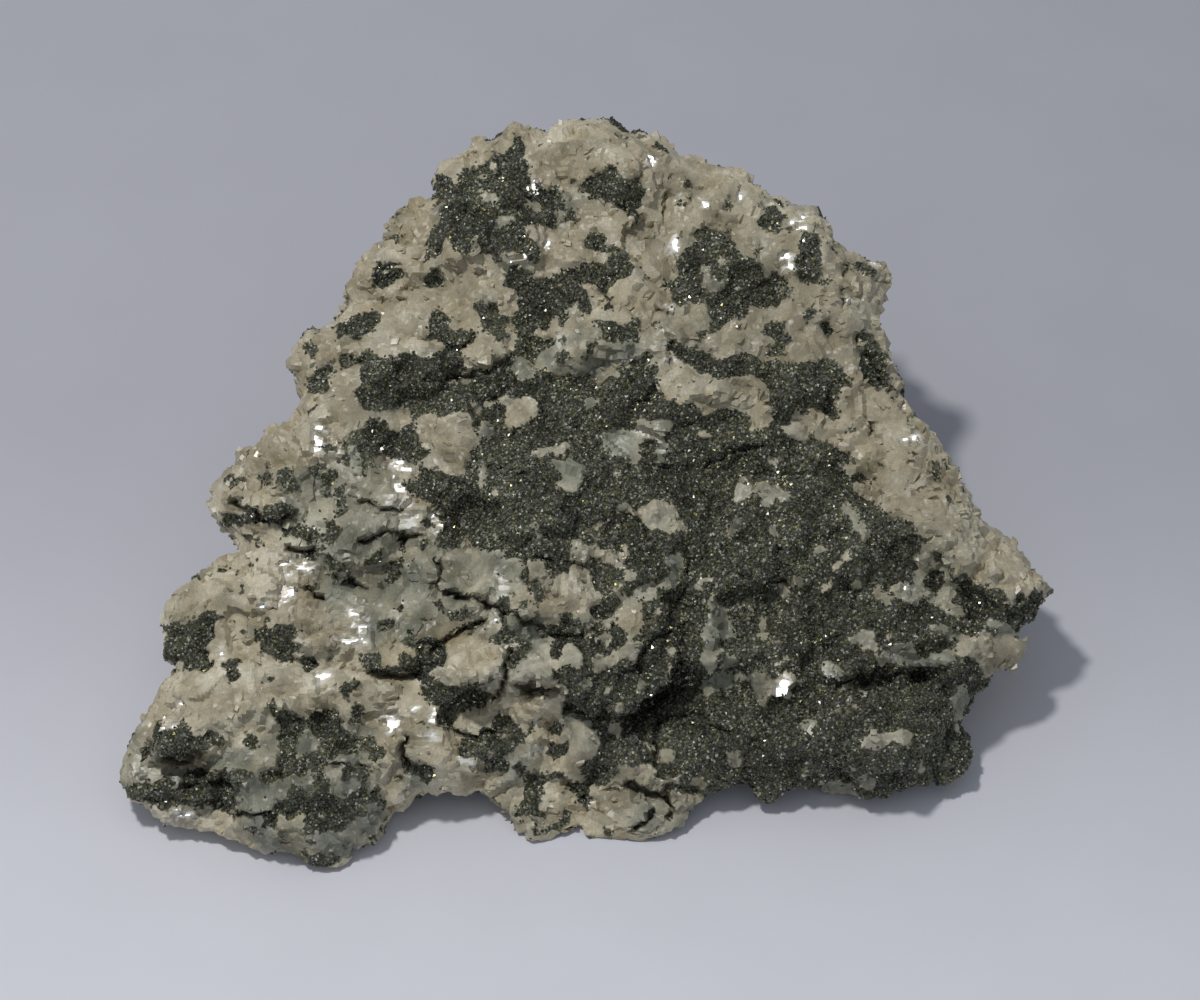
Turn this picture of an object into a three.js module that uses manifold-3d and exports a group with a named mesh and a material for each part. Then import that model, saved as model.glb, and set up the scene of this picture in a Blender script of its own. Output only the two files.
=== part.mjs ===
// A hand specimen of lollingite: dark granular ore grown through cream calcite, broken from the rock
// as one low wedge. It lies on a worn flat underneath, its ore-rich face tilted up towards the front.
//
// Millimetres. +X runs to the right along the longest side, +Y to the back, +Z up from the table.
import * as THREE from "three";
import { mergeVertices } from "three/addons/utils/BufferGeometryUtils.js";
import Module from "manifold-3d";

const wasm = await Module();
wasm.setup();

// The face is set out as it looks from one viewpoint in front of the specimen and above it.
// A place on it is [across, up], in the plane through the aim point that squarely faces the viewpoint.
const VIEW_ELEVATION = THREE.MathUtils.degToRad(48);
const VIEW_DISTANCE = 450;
const AIM = { x: 0, y: 0 };

// The face rises evenly towards the back. The rim is the face's broken edge, a little below it.
const FACE_SLOPE = 0.376;
const FACE_HEIGHT_AT_AIM = 20.4;
const RIM_HEIGHT_AT_AIM = 17.3;
const LOWEST_RIM = 0.8;
const RIM_ROUNDING = 4.2;
const RIM_LIP = 0.35;

// Flat cleavage facets of the broken surface, coarse and fine: how wide they are, how far one stands
// above the next, and how steeply they tilt.
const FACE_FACETS = [
  { width: 8.5, step: 0.8, tilt: 0.15 },
  { width: 4.2, step: 0.5, tilt: 0.2 },
];
const WALL_FACETS = [
  { width: 14, step: 2.8, tilt: 0.16 },
  { width: 7, step: 1.0, tilt: 0.2 },
];

// Spacing of the points that the face is drawn with, and how far each strays from its place.
const POINT_SPACING = 1.86;
const POINT_STRAY = 0.5;

// The rim of the specimen, clockwise from the tip of the left foot.
const RIM = [
  // left foot and the calcite shoulder over it
  [-60.3, -35.0], [-59.6, -33.4], [-59.1, -31.8], [-58.5, -30.4], [-57.8, -28.6], [-56.6, -27.3],
  [-55.3, -25.0], [-54.7, -23.4], [-53.8, -22.4], [-52.4, -21.8], [-52.4, -20.9], [-53.4, -19.8],
  [-54.3, -18.8], [-54.5, -16.2], [-54.7, -14.2], [-53.7, -12.5], [-52.0, -12.1], [-50.3, -11.3],
  [-49.7, -9.6], [-48.6, -8.0], [-47.0, -7.4], [-45.2, -7.0], [-44.7, -5.6], [-45.5, -4.3],
  [-45.2, -3.4], [-46.6, -2.9], [-48.3, -1.6], [-48.9, -0.6], [-47.7, 0.2], [-47.9, 2.2],
  // left side, stepping up
  [-46.6, 3.4], [-45.0, 4.4], [-44.9, 5.8], [-44.0, 6.5], [-42.4, 6.6], [-42.0, 8.6],
  [-41.1, 9.5], [-40.0, 9.1], [-38.9, 9.7], [-37.4, 11.2], [-37.7, 13.2], [-38.2, 14.4],
  [-37.5, 15.5], [-39.1, 16.8], [-38.3, 18.0], [-37.6, 19.5], [-36.5, 20.6], [-34.7, 21.3],
  [-32.7, 22.6], [-31.4, 23.5], [-30.8, 25.3], [-32.0, 26.3], [-31.0, 27.5], [-30.2, 29.4],
  [-29.3, 30.7], [-27.8, 31.5], [-26.6, 33.2], [-25.3, 35.0], [-24.4, 36.0], [-23.5, 37.3],
  // crown
  [-21.3, 37.3], [-20.7, 38.4], [-20.8, 39.8], [-20.1, 41.4], [-18.5, 42.6], [-16.8, 42.9],
  [-16.0, 44.4], [-14.8, 45.0], [-12.4, 45.3], [-11.6, 46.7], [-10.0, 47.0], [-8.0, 45.8],
  [-6.3, 46.0], [-4.0, 47.1], [-1.5, 47.3], [0.8, 47.0], [2.8, 45.6], [5.2, 45.8],
  [6.4, 45.7], [8.8, 44.0], [9.9, 42.9], [12.7, 42.0], [14.4, 41.6], [17.1, 41.6],
  [18.4, 40.3], [19.5, 38.8], [21.2, 37.7], [22.4, 37.9], [23.9, 36.4], [26.8, 36.6],
  [27.3, 35.2], [28.4, 33.9], [29.1, 31.7], [31.3, 30.5], [33.6, 29.6], [35.6, 29.2],
  // right side
  [36.1, 28.0], [35.9, 26.9], [35.0, 25.5], [35.2, 24.4], [34.4, 23.3], [35.1, 21.2],
  [35.9, 19.1], [36.8, 16.0], [37.8, 13.7], [38.1, 12.2], [39.4, 10.2], [40.7, 9.3],
  [42.4, 6.9], [44.2, 3.8], [45.5, 1.3], [46.3, -0.7], [47.4, -1.7], [47.9, -2.9],
  [50.0, -5.2], [51.6, -5.9], [53.0, -7.1], [54.4, -9.5], [55.5, -10.2], [56.1, -11.8],
  // undercut right corner
  [55.3, -13.2], [53.4, -14.5], [52.4, -15.8], [51.7, -16.8], [52.9, -17.6], [52.6, -19.2],
  [50.8, -21.0], [49.4, -21.7], [48.8, -23.0], [47.3, -23.6], [46.3, -25.3], [45.4, -27.2],
  [45.1, -29.2], [45.7, -31.2], [46.5, -33.0], [45.2, -34.8], [43.6, -35.2], [42.0, -34.3],
  // front edge
  [40.2, -34.5], [38.2, -35.7], [36.2, -37.1], [34.4, -37.9], [32.6, -37.2], [30.6, -36.0],
  [28.0, -35.6], [24.0, -35.5], [22.5, -36.1], [21.9, -37.8], [20.6, -36.4], [19.0, -35.3],
  [16.4, -35.5], [14.2, -36.4], [12.6, -37.6], [10.9, -39.5], [10.3, -40.8], [8.6, -41.3],
  [5.6, -41.7], [2.9, -41.9], [0.4, -41.6], [-1.8, -41.3], [-3.4, -40.7], [-4.4, -41.4],
  [-7.0, -41.6], [-9.2, -41.5], [-10.0, -40.5], [-11.3, -39.6], [-12.8, -37.9], [-14.4, -36.6],
  [-15.9, -36.3], [-17.4, -37.1], [-19.2, -36.5], [-22.4, -36.2], [-23.6, -36.8], [-23.8, -38.0],
  // the gap beside the left foot, and the foot's underside
  [-25.2, -38.2], [-26.5, -37.7], [-26.8, -39.6], [-26.9, -41.4], [-28.0, -42.6], [-29.6, -42.9],
  [-31.0, -43.4], [-31.7, -45.2], [-33.0, -46.0], [-34.7, -46.3], [-36.2, -45.1], [-38.4, -43.9],
  [-39.8, -43.6], [-41.6, -44.1], [-42.9, -43.6], [-45.6, -42.6], [-47.4, -41.8], [-49.6, -40.9],
  [-52.4, -40.6], [-54.8, -40.4], [-55.6, -38.8], [-57.4, -37.8], [-58.9, -37.4], [-59.6, -35.8],
];

// Broad masses and hollows of the face: middle, half-extents, turn in degrees, rise, and how much of
// the half-extent the slope takes (1 is a dome, 0.2 a table with steep sides).
const MASSES = [
  { at: [-3, -9], reach: [14.5, 18], turn: 0, rise: 2.6, slope: 0.3 },
  { at: [-13, 36], reach: [10, 9], turn: 20, rise: 1.6, slope: 0.5 },
  { at: [3, 43], reach: [15, 6], turn: -8, rise: 1.2, slope: 0.6 },
  { at: [26, 29], reach: [9, 8], turn: -30, rise: 1.6, slope: 0.5 },
  { at: [0, 22], reach: [9, 6], turn: 10, rise: 1.3, slope: 0.4 },
  { at: [17, 10], reach: [12, 7], turn: -12, rise: 1.0, slope: 0.5 },
  { at: [42, 0], reach: [12, 7], turn: -50, rise: 1.7, slope: 0.5 },
  { at: [50, -10], reach: [7, 4], turn: -25, rise: 1.0, slope: 0.6 },
  { at: [28, -9], reach: [16, 9], turn: -10, rise: 1.3, slope: 0.4 },
  { at: [33, -30], reach: [15, 6], turn: 12, rise: 2.6, slope: 0.35 },
  { at: [-42, 0], reach: [8, 5], turn: 10, rise: 1.8, slope: 0.5 },
  { at: [-34, 9], reach: [8, 7], turn: 30, rise: 1.2, slope: 0.6 },
  { at: [-45, -11], reach: [9, 4], turn: 15, rise: 1.4, slope: 0.6 },
  { at: [-44, -24], reach: [13, 5], turn: 0, rise: 2.0, slope: 0.5 },
  { at: [-52, -29], reach: [6, 3.2], turn: 8, rise: 1.8, slope: 0.4 },
  { at: [-37, -38], reach: [11, 8], turn: -10, rise: 2.4, slope: 0.4 },
  { at: [-16, -19], reach: [6, 5], turn: 10, rise: 1.6, slope: 0.35 },
  { at: [-22, -31], reach: [5, 6], turn: 15, rise: 1.6, slope: 0.5 },
  { at: [-1, -39], reach: [13, 4], turn: 0, rise: 1.8, slope: 0.5 },
  // hollows
  { at: [9, -26], reach: [6.5, 4], turn: 20, rise: -3.4, slope: 0.5 },
  { at: [-9, -29], reach: [7, 4], turn: -20, rise: -2.2, slope: 0.5 },
  { at: [-15.5, -28], reach: [4, 4.5], turn: 0, rise: -2.0, slope: 0.5 },
  { at: [16, -23], reach: [6, 3], turn: -10, rise: -1.4, slope: 0.6 },
  { at: [36, -22], reach: [7, 2.2], turn: 8, rise: -2.4, slope: 0.5 },
  { at: [-27, -12], reach: [7, 4], turn: -20, rise: -1.4, slope: 0.7 },
  { at: [-28, 24], reach: [5, 3], turn: 40, rise: -1.2, slope: 0.7 },
  { at: [34, 18], reach: [2, 6], turn: 14, rise: -2.2, slope: 0.7 },
  { at: [-51, -33.5], reach: [4, 1.6], turn: -5, rise: -1.6, slope: 0.6 },
  { at: [-24.5, -33], reach: [1.4, 4], turn: 0, rise: -2.2, slope: 0.7 },
];

// Ledges, where the rock broke along cleavage: each stands proud along its lower edge, listed from
// left to right, and fades back into the face over its run.
const LEDGES = [
  { edge: [[-21, -9], [-19.4, -11.4], [-13.1, -12.9], [-10, -15.4], [-8, -14]], rise: 2.0, run: 6 },
  { edge: [[-24.5, -18.6], [-20, -17.4], [-17, -15.9], [-14, -14.4]], rise: 1.6, run: 4 },
  { edge: [[-20, -20.5], [-16, -23], [-12, -22.5], [-8, -23.4], [-4.5, -23]], rise: 1.8, run: 5 },
  { edge: [[-5, -26], [2.2, -27.2], [4.4, -25.8], [8, -23.4], [10.6, -21]], rise: 2.6, run: 9 },
  { edge: [[11, -13.6], [14.5, -12.8], [18, -11], [22.5, -9.6]], rise: 1.4, run: 6 },
  { edge: [[11, -21.8], [17, -21.6], [23, -19.6], [28, -20.2]], rise: 1.3, run: 5 },
  { edge: [[29, -22], [34, -21.4], [41, -21.8], [47, -22.4]], rise: 1.8, run: 5 },
  { edge: [[31, -17.6], [35, -18.7], [40, -18.4], [45, -17.4]], rise: 1.3, run: 4 },
  { edge: [[34, -5], [40, -5.6], [46, -10.5], [52, -13.4]], rise: 1.4, run: 5 },
  { edge: [[-5, -33.4], [3, -34.6], [8, -36.6], [14, -34.4], [22, -34.2]], rise: 1.4, run: 5 },
  { edge: [[-48.5, 0.4], [-45, -1], [-42, -2.4], [-38, -2.6]], rise: 1.5, run: 4 },
  { edge: [[-39, -6], [-35, -6.4], [-29, -4.6], [-22.4, -5]], rise: 1.3, run: 5 },
  { edge: [[-35, -8.6], [-32, -10], [-29, -11.4]], rise: 1.2, run: 3 },
  { edge: [[-41, -17], [-36, -19.8], [-31, -19.5], [-25, -22.2], [-21, -21.5]], rise: 1.6, run: 5 },
  { edge: [[-57.5, -30.6], [-54, -31.6], [-50, -31.9], [-46.4, -30.2]], rise: 1.8, run: 4 },
  { edge: [[-53, -34.6], [-50, -35.5], [-45, -35.4], [-41, -34.2]], rise: 1.5, run: 3 },
  { edge: [[-56, -38], [-50, -38.4], [-45, -39.2], [-41, -38.6]], rise: 1.4, run: 3 },
  { edge: [[-27.4, -35], [-25.6, -36.8], [-23, -36.4]], rise: 1.2, run: 5 },
  { edge: [[-21.6, 27], [-19, 29.8], [-14, 30.4], [-8, 29.8]], rise: 1.2, run: 5 },
  { edge: [[-24, 14.8], [-18, 15.2], [-14, 16.4], [-10.6, 18.6]], rise: 1.3, run: 5 },
  { edge: [[-6, 17.4], [0, 17.6], [5, 18], [8.6, 17.2]], rise: 1.4, run: 6 },
  { edge: [[10, 13.6], [14, 13], [18, 13.4], [21, 11.6]], rise: 1.3, run: 4 },
  { edge: [[21, 10], [24, 12], [29, 12.2], [32, 13.4]], rise: 1.5, run: 5 },
  { edge: [[-33, 19.8], [-30, 20.2], [-27, 21.6]], rise: 1.0, run: 4 },
  { edge: [[24, 28.6], [26.4, 27], [28.5, 28]], rise: 1.2, run: 5 },
];

// The worn flat underneath is the rim drawn in, and the rough wall stands between the two.
const FLAT_SHARE_ACROSS = 0.9;
const FLAT_SHARE_UP = 0.72;
const FLAT_SHIFT_UP = -7.9;

// Rings of the wall from the rim down: share of the way to the flat, and how many points on each side
// are averaged, so that the wall loses the rim's small teeth.
const WALL_RINGS = [
  { share: 0.14, smoothing: 1 },
  { share: 0.32, smoothing: 2 },
  { share: 0.54, smoothing: 3 },
  { share: 0.78, smoothing: 4 },
  { share: 1.0, smoothing: 6 },
];

// Moves the middle of the specimen's box over the origin.
const PLAN_SHIFT = { x: 1.48, y: 11.04 };

const ROCK_COLOUR = 0x8f8a78;

// A repeatable number from -1 to 1 for a lattice point.
function scatter(i, j, k = 0) {
  const mixed = Math.sin(i * 127.1 + j * 311.7 + k * 74.7) * 43758.5453;
  return 2 * (mixed - Math.floor(mixed)) - 1;
}

// Height of a surface that is broken into flat facets, one around each of a scatter of middles.
function facetRise({ width, step, tilt }, x, y, layer) {
  let nearest = Infinity;
  let rise = 0;
  for (let i = Math.floor(x / width) - 1; i <= Math.floor(x / width) + 1; i++) {
    for (let j = Math.floor(y / width) - 1; j <= Math.floor(y / width) + 1; j++) {
      const dx = x - width * (i + 0.5 + 0.42 * scatter(i, j, layer));
      const dy = y - width * (j + 0.5 + 0.42 * scatter(i, j, layer + 1));
      const distance = Math.hypot(dx, dy);
      if (distance < nearest) {
        nearest = distance;
        const slope = tilt * (dx * scatter(i, j, layer + 3) + dy * scatter(i, j, layer + 4));
        rise = step * scatter(i, j, layer + 2) + slope;
      }
    }
  }
  return rise;
}

// The point of the part that is seen at [across, up] and stands that high above the table.
function setOut(across, up, height) {
  const eyeHeight = VIEW_DISTANCE * Math.sin(VIEW_ELEVATION);
  const eyeBack = VIEW_DISTANCE * Math.cos(VIEW_ELEVATION);
  const along = (eyeHeight - height) / (eyeHeight - up * Math.cos(VIEW_ELEVATION));
  return new THREE.Vector3(
    AIM.x + PLAN_SHIFT.x + across * along,
    AIM.y + PLAN_SHIFT.y - eyeBack + (up * Math.sin(VIEW_ELEVATION) + eyeBack) * along,
    height,
  );
}

function rimHeight(up) {
  return Math.max(LOWEST_RIM, RIM_HEIGHT_AT_AIM + FACE_SLOPE * up);
}

// Distance from a place on the face to the rim, negative outside it.
function insideRim(across, up) {
  let nearest = Infinity;
  let inside = false;
  for (let i = 0; i < RIM.length; i++) {
    const [ax, ay] = RIM[i];
    const [bx, by] = RIM[(i + 1) % RIM.length];
    const length2 = (bx - ax) ** 2 + (by - ay) ** 2;
    const t = THREE.MathUtils.clamp(((across - ax) * (bx - ax) + (up - ay) * (by - ay)) / length2, 0, 1);
    nearest = Math.min(nearest, Math.hypot(ax + t * (bx - ax) - across, ay + t * (by - ay) - up));
    if (ay > up !== by > up && across < ax + ((up - ay) / (by - ay)) * (bx - ax)) inside = !inside;
  }
  return inside ? nearest : -nearest;
}

function massRise(mass, across, up) {
  const turn = THREE.MathUtils.degToRad(mass.turn);
  const dx = across - mass.at[0];
  const dy = up - mass.at[1];
  const u = (dx * Math.cos(turn) + dy * Math.sin(turn)) / mass.reach[0];
  const v = (-dx * Math.sin(turn) + dy * Math.cos(turn)) / mass.reach[1];
  return mass.rise * (1 - THREE.MathUtils.smoothstep(Math.hypot(u, v), 1 - mass.slope, 1));
}

function ledgeRise(ledge, across, up) {
  const { edge, rise, run } = ledge;
  const first = edge[0][0];
  const last = edge[edge.length - 1][0];
  if (across <= first || across >= last) return 0;
  const i = edge.findIndex(([a]) => a > across);
  const [a0, b0] = edge[i - 1];
  const [a1, b1] = edge[i];
  const above = up - THREE.MathUtils.lerp(b0, b1, (across - a0) / (a1 - a0));
  const endFade = Math.min(1, (across - first) / 1.5, (last - across) / 1.5);
  if (above >= 0 && above < run) return rise * endFade * (1 - above / run);
  if (above < 0 && above > -run / 3) return -0.4 * rise * endFade * (1 + (3 * above) / run);
  return 0;
}

// Height of the broken face above the table, at a place seen at [across, up].
function faceHeight(across, up) {
  const depthInside = insideRim(across, up);
  const rim = rimHeight(up) + RIM_LIP;
  if (depthInside <= 0) return rim;
  let face = FACE_HEIGHT_AT_AIM + FACE_SLOPE * up;
  for (const mass of MASSES) face += massRise(mass, across, up);
  for (const ledge of LEDGES) face += ledgeRise(ledge, across, up);
  FACE_FACETS.forEach((facets, layer) => { face += facetRise(facets, across, up, 10 * layer); });
  const t = Math.min(1, depthInside / RIM_ROUNDING);
  return Math.max(rim, rim + (face - rim) * Math.sqrt(1 - (1 - t) ** 2));
}

function solidFrom(geometry) {
  const bare = geometry.clone();
  bare.deleteAttribute("normal");
  bare.deleteAttribute("uv");
  const merged = mergeVertices(bare, 1e-4);
  return new wasm.Manifold(
    new wasm.Mesh({
      numProp: 3,
      vertProperties: new Float32Array(merged.getAttribute("position").array),
      triVerts: new Uint32Array(merged.index.array),
    }),
  );
}

// Everything behind the broken face, as a block whose front is the face's relief.
function reliefBlock() {
  const BELOW_TABLE = -60;
  const width = 124;
  const height = 101;
  const middle = [-2, 0.5];
  const pointsAcross = Math.round(width / POINT_SPACING);
  const pointsUp = Math.round(height / POINT_SPACING);
  const block = new THREE.BoxGeometry(width, height, 1, pointsAcross, pointsUp, 1);
  const place = block.getAttribute("position");
  for (let i = 0; i < place.count; i++) {
    const column = Math.round(place.getX(i) * 4);
    const row = Math.round(place.getY(i) * 4);
    const across = place.getX(i) + middle[0] + POINT_STRAY * scatter(column, row, 5);
    const up = place.getY(i) + middle[1] + POINT_STRAY * scatter(column, row, 6);
    const point = setOut(across, up, place.getZ(i) > 0 ? faceHeight(across, up) : BELOW_TABLE);
    place.setXYZ(i, point.x, point.y, point.z);
  }
  return solidFrom(block);
}

function smoothRing(ring, reach) {
  return ring.map((_, i) => {
    const mean = new THREE.Vector3();
    for (let k = -reach; k <= reach; k++) mean.add(ring[(i + k + ring.length) % ring.length]);
    return mean.divideScalar(2 * reach + 1);
  });
}

// One ring of the wall below the rim, as [across, up, height]: share 0 is the rim, share 1 the flat.
function wallRing({ share, smoothing }) {
  const straight = RIM.map(([across, up]) => new THREE.Vector3(
    THREE.MathUtils.lerp(across, FLAT_SHARE_ACROSS * across, share),
    THREE.MathUtils.lerp(up, FLAT_SHARE_UP * up + FLAT_SHIFT_UP, share),
    rimHeight(up) * (1 - share),
  ));
  const ring = smoothRing(straight, smoothing);
  if (share === 1) return ring;
  let along = 0;
  return ring.map((place, i) => {
    const before = ring[(i - 3 + ring.length) % ring.length];
    const after = ring[(i + 3) % ring.length];
    const outward = new THREE.Vector2(before.y - after.y, after.x - before.x).normalize();
    along += Math.hypot(after.x - before.x, after.y - before.y) / 6;
    // A low wall is nearly smooth, and nothing stands out beyond the rim where the wall is in sight.
    const room = Math.min(1, place.z / 10) * Math.min(1, share / 0.35);
    let rise = -1.2 * share;
    WALL_FACETS.forEach((facets, layer) => { rise += facetRise(facets, along, place.z, 30 + 10 * layer); });
    if (outward.y < 0.25) rise = Math.min(rise, 0);
    return new THREE.Vector3(place.x + room * rise * outward.x, place.y + room * rise * outward.y, place.z);
  });
}

// Triangles that fill a ring, each anticlockwise as seen from the viewpoint.
function capFaces(ring) {
  const flat = ring.map(({ x, y }) => new THREE.Vector2(x, y));
  return THREE.ShapeUtils.triangulateShape(flat, []).map(([i, j, k]) => (
    THREE.ShapeUtils.area([flat[i], flat[j], flat[k]]) > 0 ? [i, j, k] : [i, k, j]
  ));
}

// The specimen without its face: the rim drawn out towards the viewpoint, the wall and the flat.
function wallAndFlat() {
  const ABOVE_FACE = 75;
  const rings = [
    RIM.map(([across, up]) => new THREE.Vector3(across, up, ABOVE_FACE)),
    RIM.map(([across, up]) => new THREE.Vector3(across, up, rimHeight(up))),
    ...WALL_RINGS.map(wallRing),
  ];
  const count = RIM.length;
  const points = rings.flat().flatMap(({ x, y, z }) => setOut(x, y, z).toArray());
  const faces = [];
  for (let r = 0; r + 1 < rings.length; r++) {
    for (let i = 0; i < count; i++) {
      const next = (i + 1) % count;
      const [a, b, c, d] = [r * count + i, r * count + next, (r + 1) * count + next, (r + 1) * count + i];
      faces.push(a, b, c, a, c, d);
    }
  }
  for (const [i, j, k] of capFaces(rings[0])) faces.push(i, j, k);
  const base = (rings.length - 1) * count;
  for (const [i, j, k] of capFaces(rings.at(-1))) faces.push(base + i, base + k, base + j);
  const body = new THREE.BufferGeometry();
  body.setAttribute("position", new THREE.BufferAttribute(new Float32Array(points), 3));
  body.setIndex(faces);
  return solidFrom(body);
}

// The one stone, without the splinters that the cutting leaves beside it.
function specimenSolid() {
  const body = reliefBlock().intersect(wallAndFlat());
  return body.decompose().reduce((best, piece) => (piece.volume() > best.volume() ? piece : best));
}

function meshFrom(solid, name, material) {
  const { numProp, numVert, vertProperties, triVerts } = solid.getMesh();
  const points = new Float32Array(numVert * 3);
  for (let i = 0; i < numVert; i++) points.set(vertProperties.subarray(i * numProp, i * numProp + 3), i * 3);
  const geometry = new THREE.BufferGeometry();
  geometry.setAttribute("position", new THREE.BufferAttribute(points, 3));
  geometry.setIndex(new THREE.BufferAttribute(new Uint32Array(triVerts), 1));
  geometry.computeVertexNormals();
  const mesh = new THREE.Mesh(geometry, material);
  mesh.name = name;
  return mesh;
}

const rock = new THREE.MeshStandardMaterial({
  color: ROCK_COLOUR,
  roughness: 0.55,
  metalness: 0.15,
  flatShading: true,
});

const specimen = new THREE.Group();
specimen.add(meshFrom(specimenSolid(), "lollingite_specimen", rock));

export default specimen;
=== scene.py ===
"""A hand specimen of lollingite: dark granular ore grown through cream calcite.

Lengths are in millimetres while a piece is made, and in metres in its finished mesh.
A place on the broken face is [across, up] in the plane through the aim point that squarely faces
the camera, so an outline drawn there lies where the camera sees it.
"""
import math

import bmesh
import bpy
import numpy as np
from mathutils import Euler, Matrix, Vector
from mathutils.bvhtree import BVHTree


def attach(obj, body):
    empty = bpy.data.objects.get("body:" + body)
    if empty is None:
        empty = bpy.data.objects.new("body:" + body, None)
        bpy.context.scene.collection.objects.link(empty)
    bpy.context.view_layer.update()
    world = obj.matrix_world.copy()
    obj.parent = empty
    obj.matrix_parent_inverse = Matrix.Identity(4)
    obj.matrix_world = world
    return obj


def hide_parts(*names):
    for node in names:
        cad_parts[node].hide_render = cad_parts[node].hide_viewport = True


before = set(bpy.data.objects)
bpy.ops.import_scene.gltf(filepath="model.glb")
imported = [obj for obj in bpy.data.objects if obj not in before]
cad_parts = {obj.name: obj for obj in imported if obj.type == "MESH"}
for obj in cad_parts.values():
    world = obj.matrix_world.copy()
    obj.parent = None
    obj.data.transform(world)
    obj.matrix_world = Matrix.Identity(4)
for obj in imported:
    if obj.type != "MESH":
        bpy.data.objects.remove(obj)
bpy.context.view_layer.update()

MM = 0.001

# The viewpoint: the specimen is looked at from in front and well above, as it lies on the table,
# through a long lens. The plan shift is the one that puts the part's box over the origin.
VIEW_ELEVATION = math.radians(48)
VIEW_DISTANCE = 450.0
FRAME_WIDTH = 150.0
SENSOR_WIDTH = 36.0
PLAN_SHIFT = (1.48, 11.04)

aim = np.array([PLAN_SHIFT[0], PLAN_SHIFT[1], 0.0])
right = np.array([1.0, 0.0, 0.0])
upward = np.array([0.0, math.sin(VIEW_ELEVATION), math.cos(VIEW_ELEVATION)])
forward = np.array([0.0, math.cos(VIEW_ELEVATION), -math.sin(VIEW_ELEVATION)])
eye = aim - VIEW_DISTANCE * forward


def add_object(name, data):
    """A new object in the scene."""
    made = bpy.data.objects.new(name, data)
    bpy.context.scene.collection.objects.link(made)
    return made


camera_data = bpy.data.cameras.new("camera")
camera_data.sensor_width = SENSOR_WIDTH
camera_data.lens = SENSOR_WIDTH * VIEW_DISTANCE / FRAME_WIDTH
camera_data.clip_start = 0.01
camera_data.clip_end = 20.0
camera = add_object("camera", camera_data)
camera.location = Vector(eye * MM)
camera.rotation_euler = (math.pi / 2 - VIEW_ELEVATION, 0.0, 0.0)
bpy.context.scene.camera = camera

# The lamp: one small disk high over the specimen and a little to its left, so the shadows are short
# and have a narrow soft edge. It is aimed a little above the table.
LAMP_DIRECTION = (-0.300, -0.03, 0.953)
LAMP_DISTANCE = 450.0
LAMP_AIM_HEIGHT = 15.0
LAMP_RADIUS = 23.0
LAMP_POWER = 0.97
LAMP_COLOUR = (1.0, 0.985, 0.95)

lamp_turn = Vector(LAMP_DIRECTION).normalized()
lamp_place = np.array(lamp_turn * LAMP_DISTANCE) + (0.0, 0.0, LAMP_AIM_HEIGHT)
lamp_data = bpy.data.lights.new("lamp", "AREA")
lamp_data.shape = "DISK"
lamp_data.size = 2 * LAMP_RADIUS * MM
lamp_data.energy = LAMP_POWER
lamp_data.color = LAMP_COLOUR
lamp = add_object("lamp", lamp_data)
lamp.location = Vector(lamp_place * MM)
lamp.rotation_mode = "QUATERNION"
lamp.rotation_quaternion = lamp_turn.to_track_quat("Z", "Y")

# The stone: one lump of coarse calcite marble, broken along the calcite's cleavage, with masses of
# granular lollingite grown through it. The calcite breaks in flat steps, each crystal (a domain here)
# in its own direction, and the ore breaks as a rough crust.
STONE_CELL = 0.476
DOMAIN_SIZE = 6.5
STEP_LEAST, STEP_MOST = 0.6, 1.5
BACK_DOMAIN_SIZE = 15.0
BACK_STEP_LEAST, BACK_STEP_MOST = 1.8, 3.6
CLEAVAGE_ANGLE = math.radians(75)
DOMAIN_STRAY = 0.45
DOMAIN_TILT = 0.55
CRISPNESS, CRISPNESS_SPREAD = 0.8, 0.2
FLAT_MARGIN = 1.6
SHARP_FROM = math.radians(24)

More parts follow.
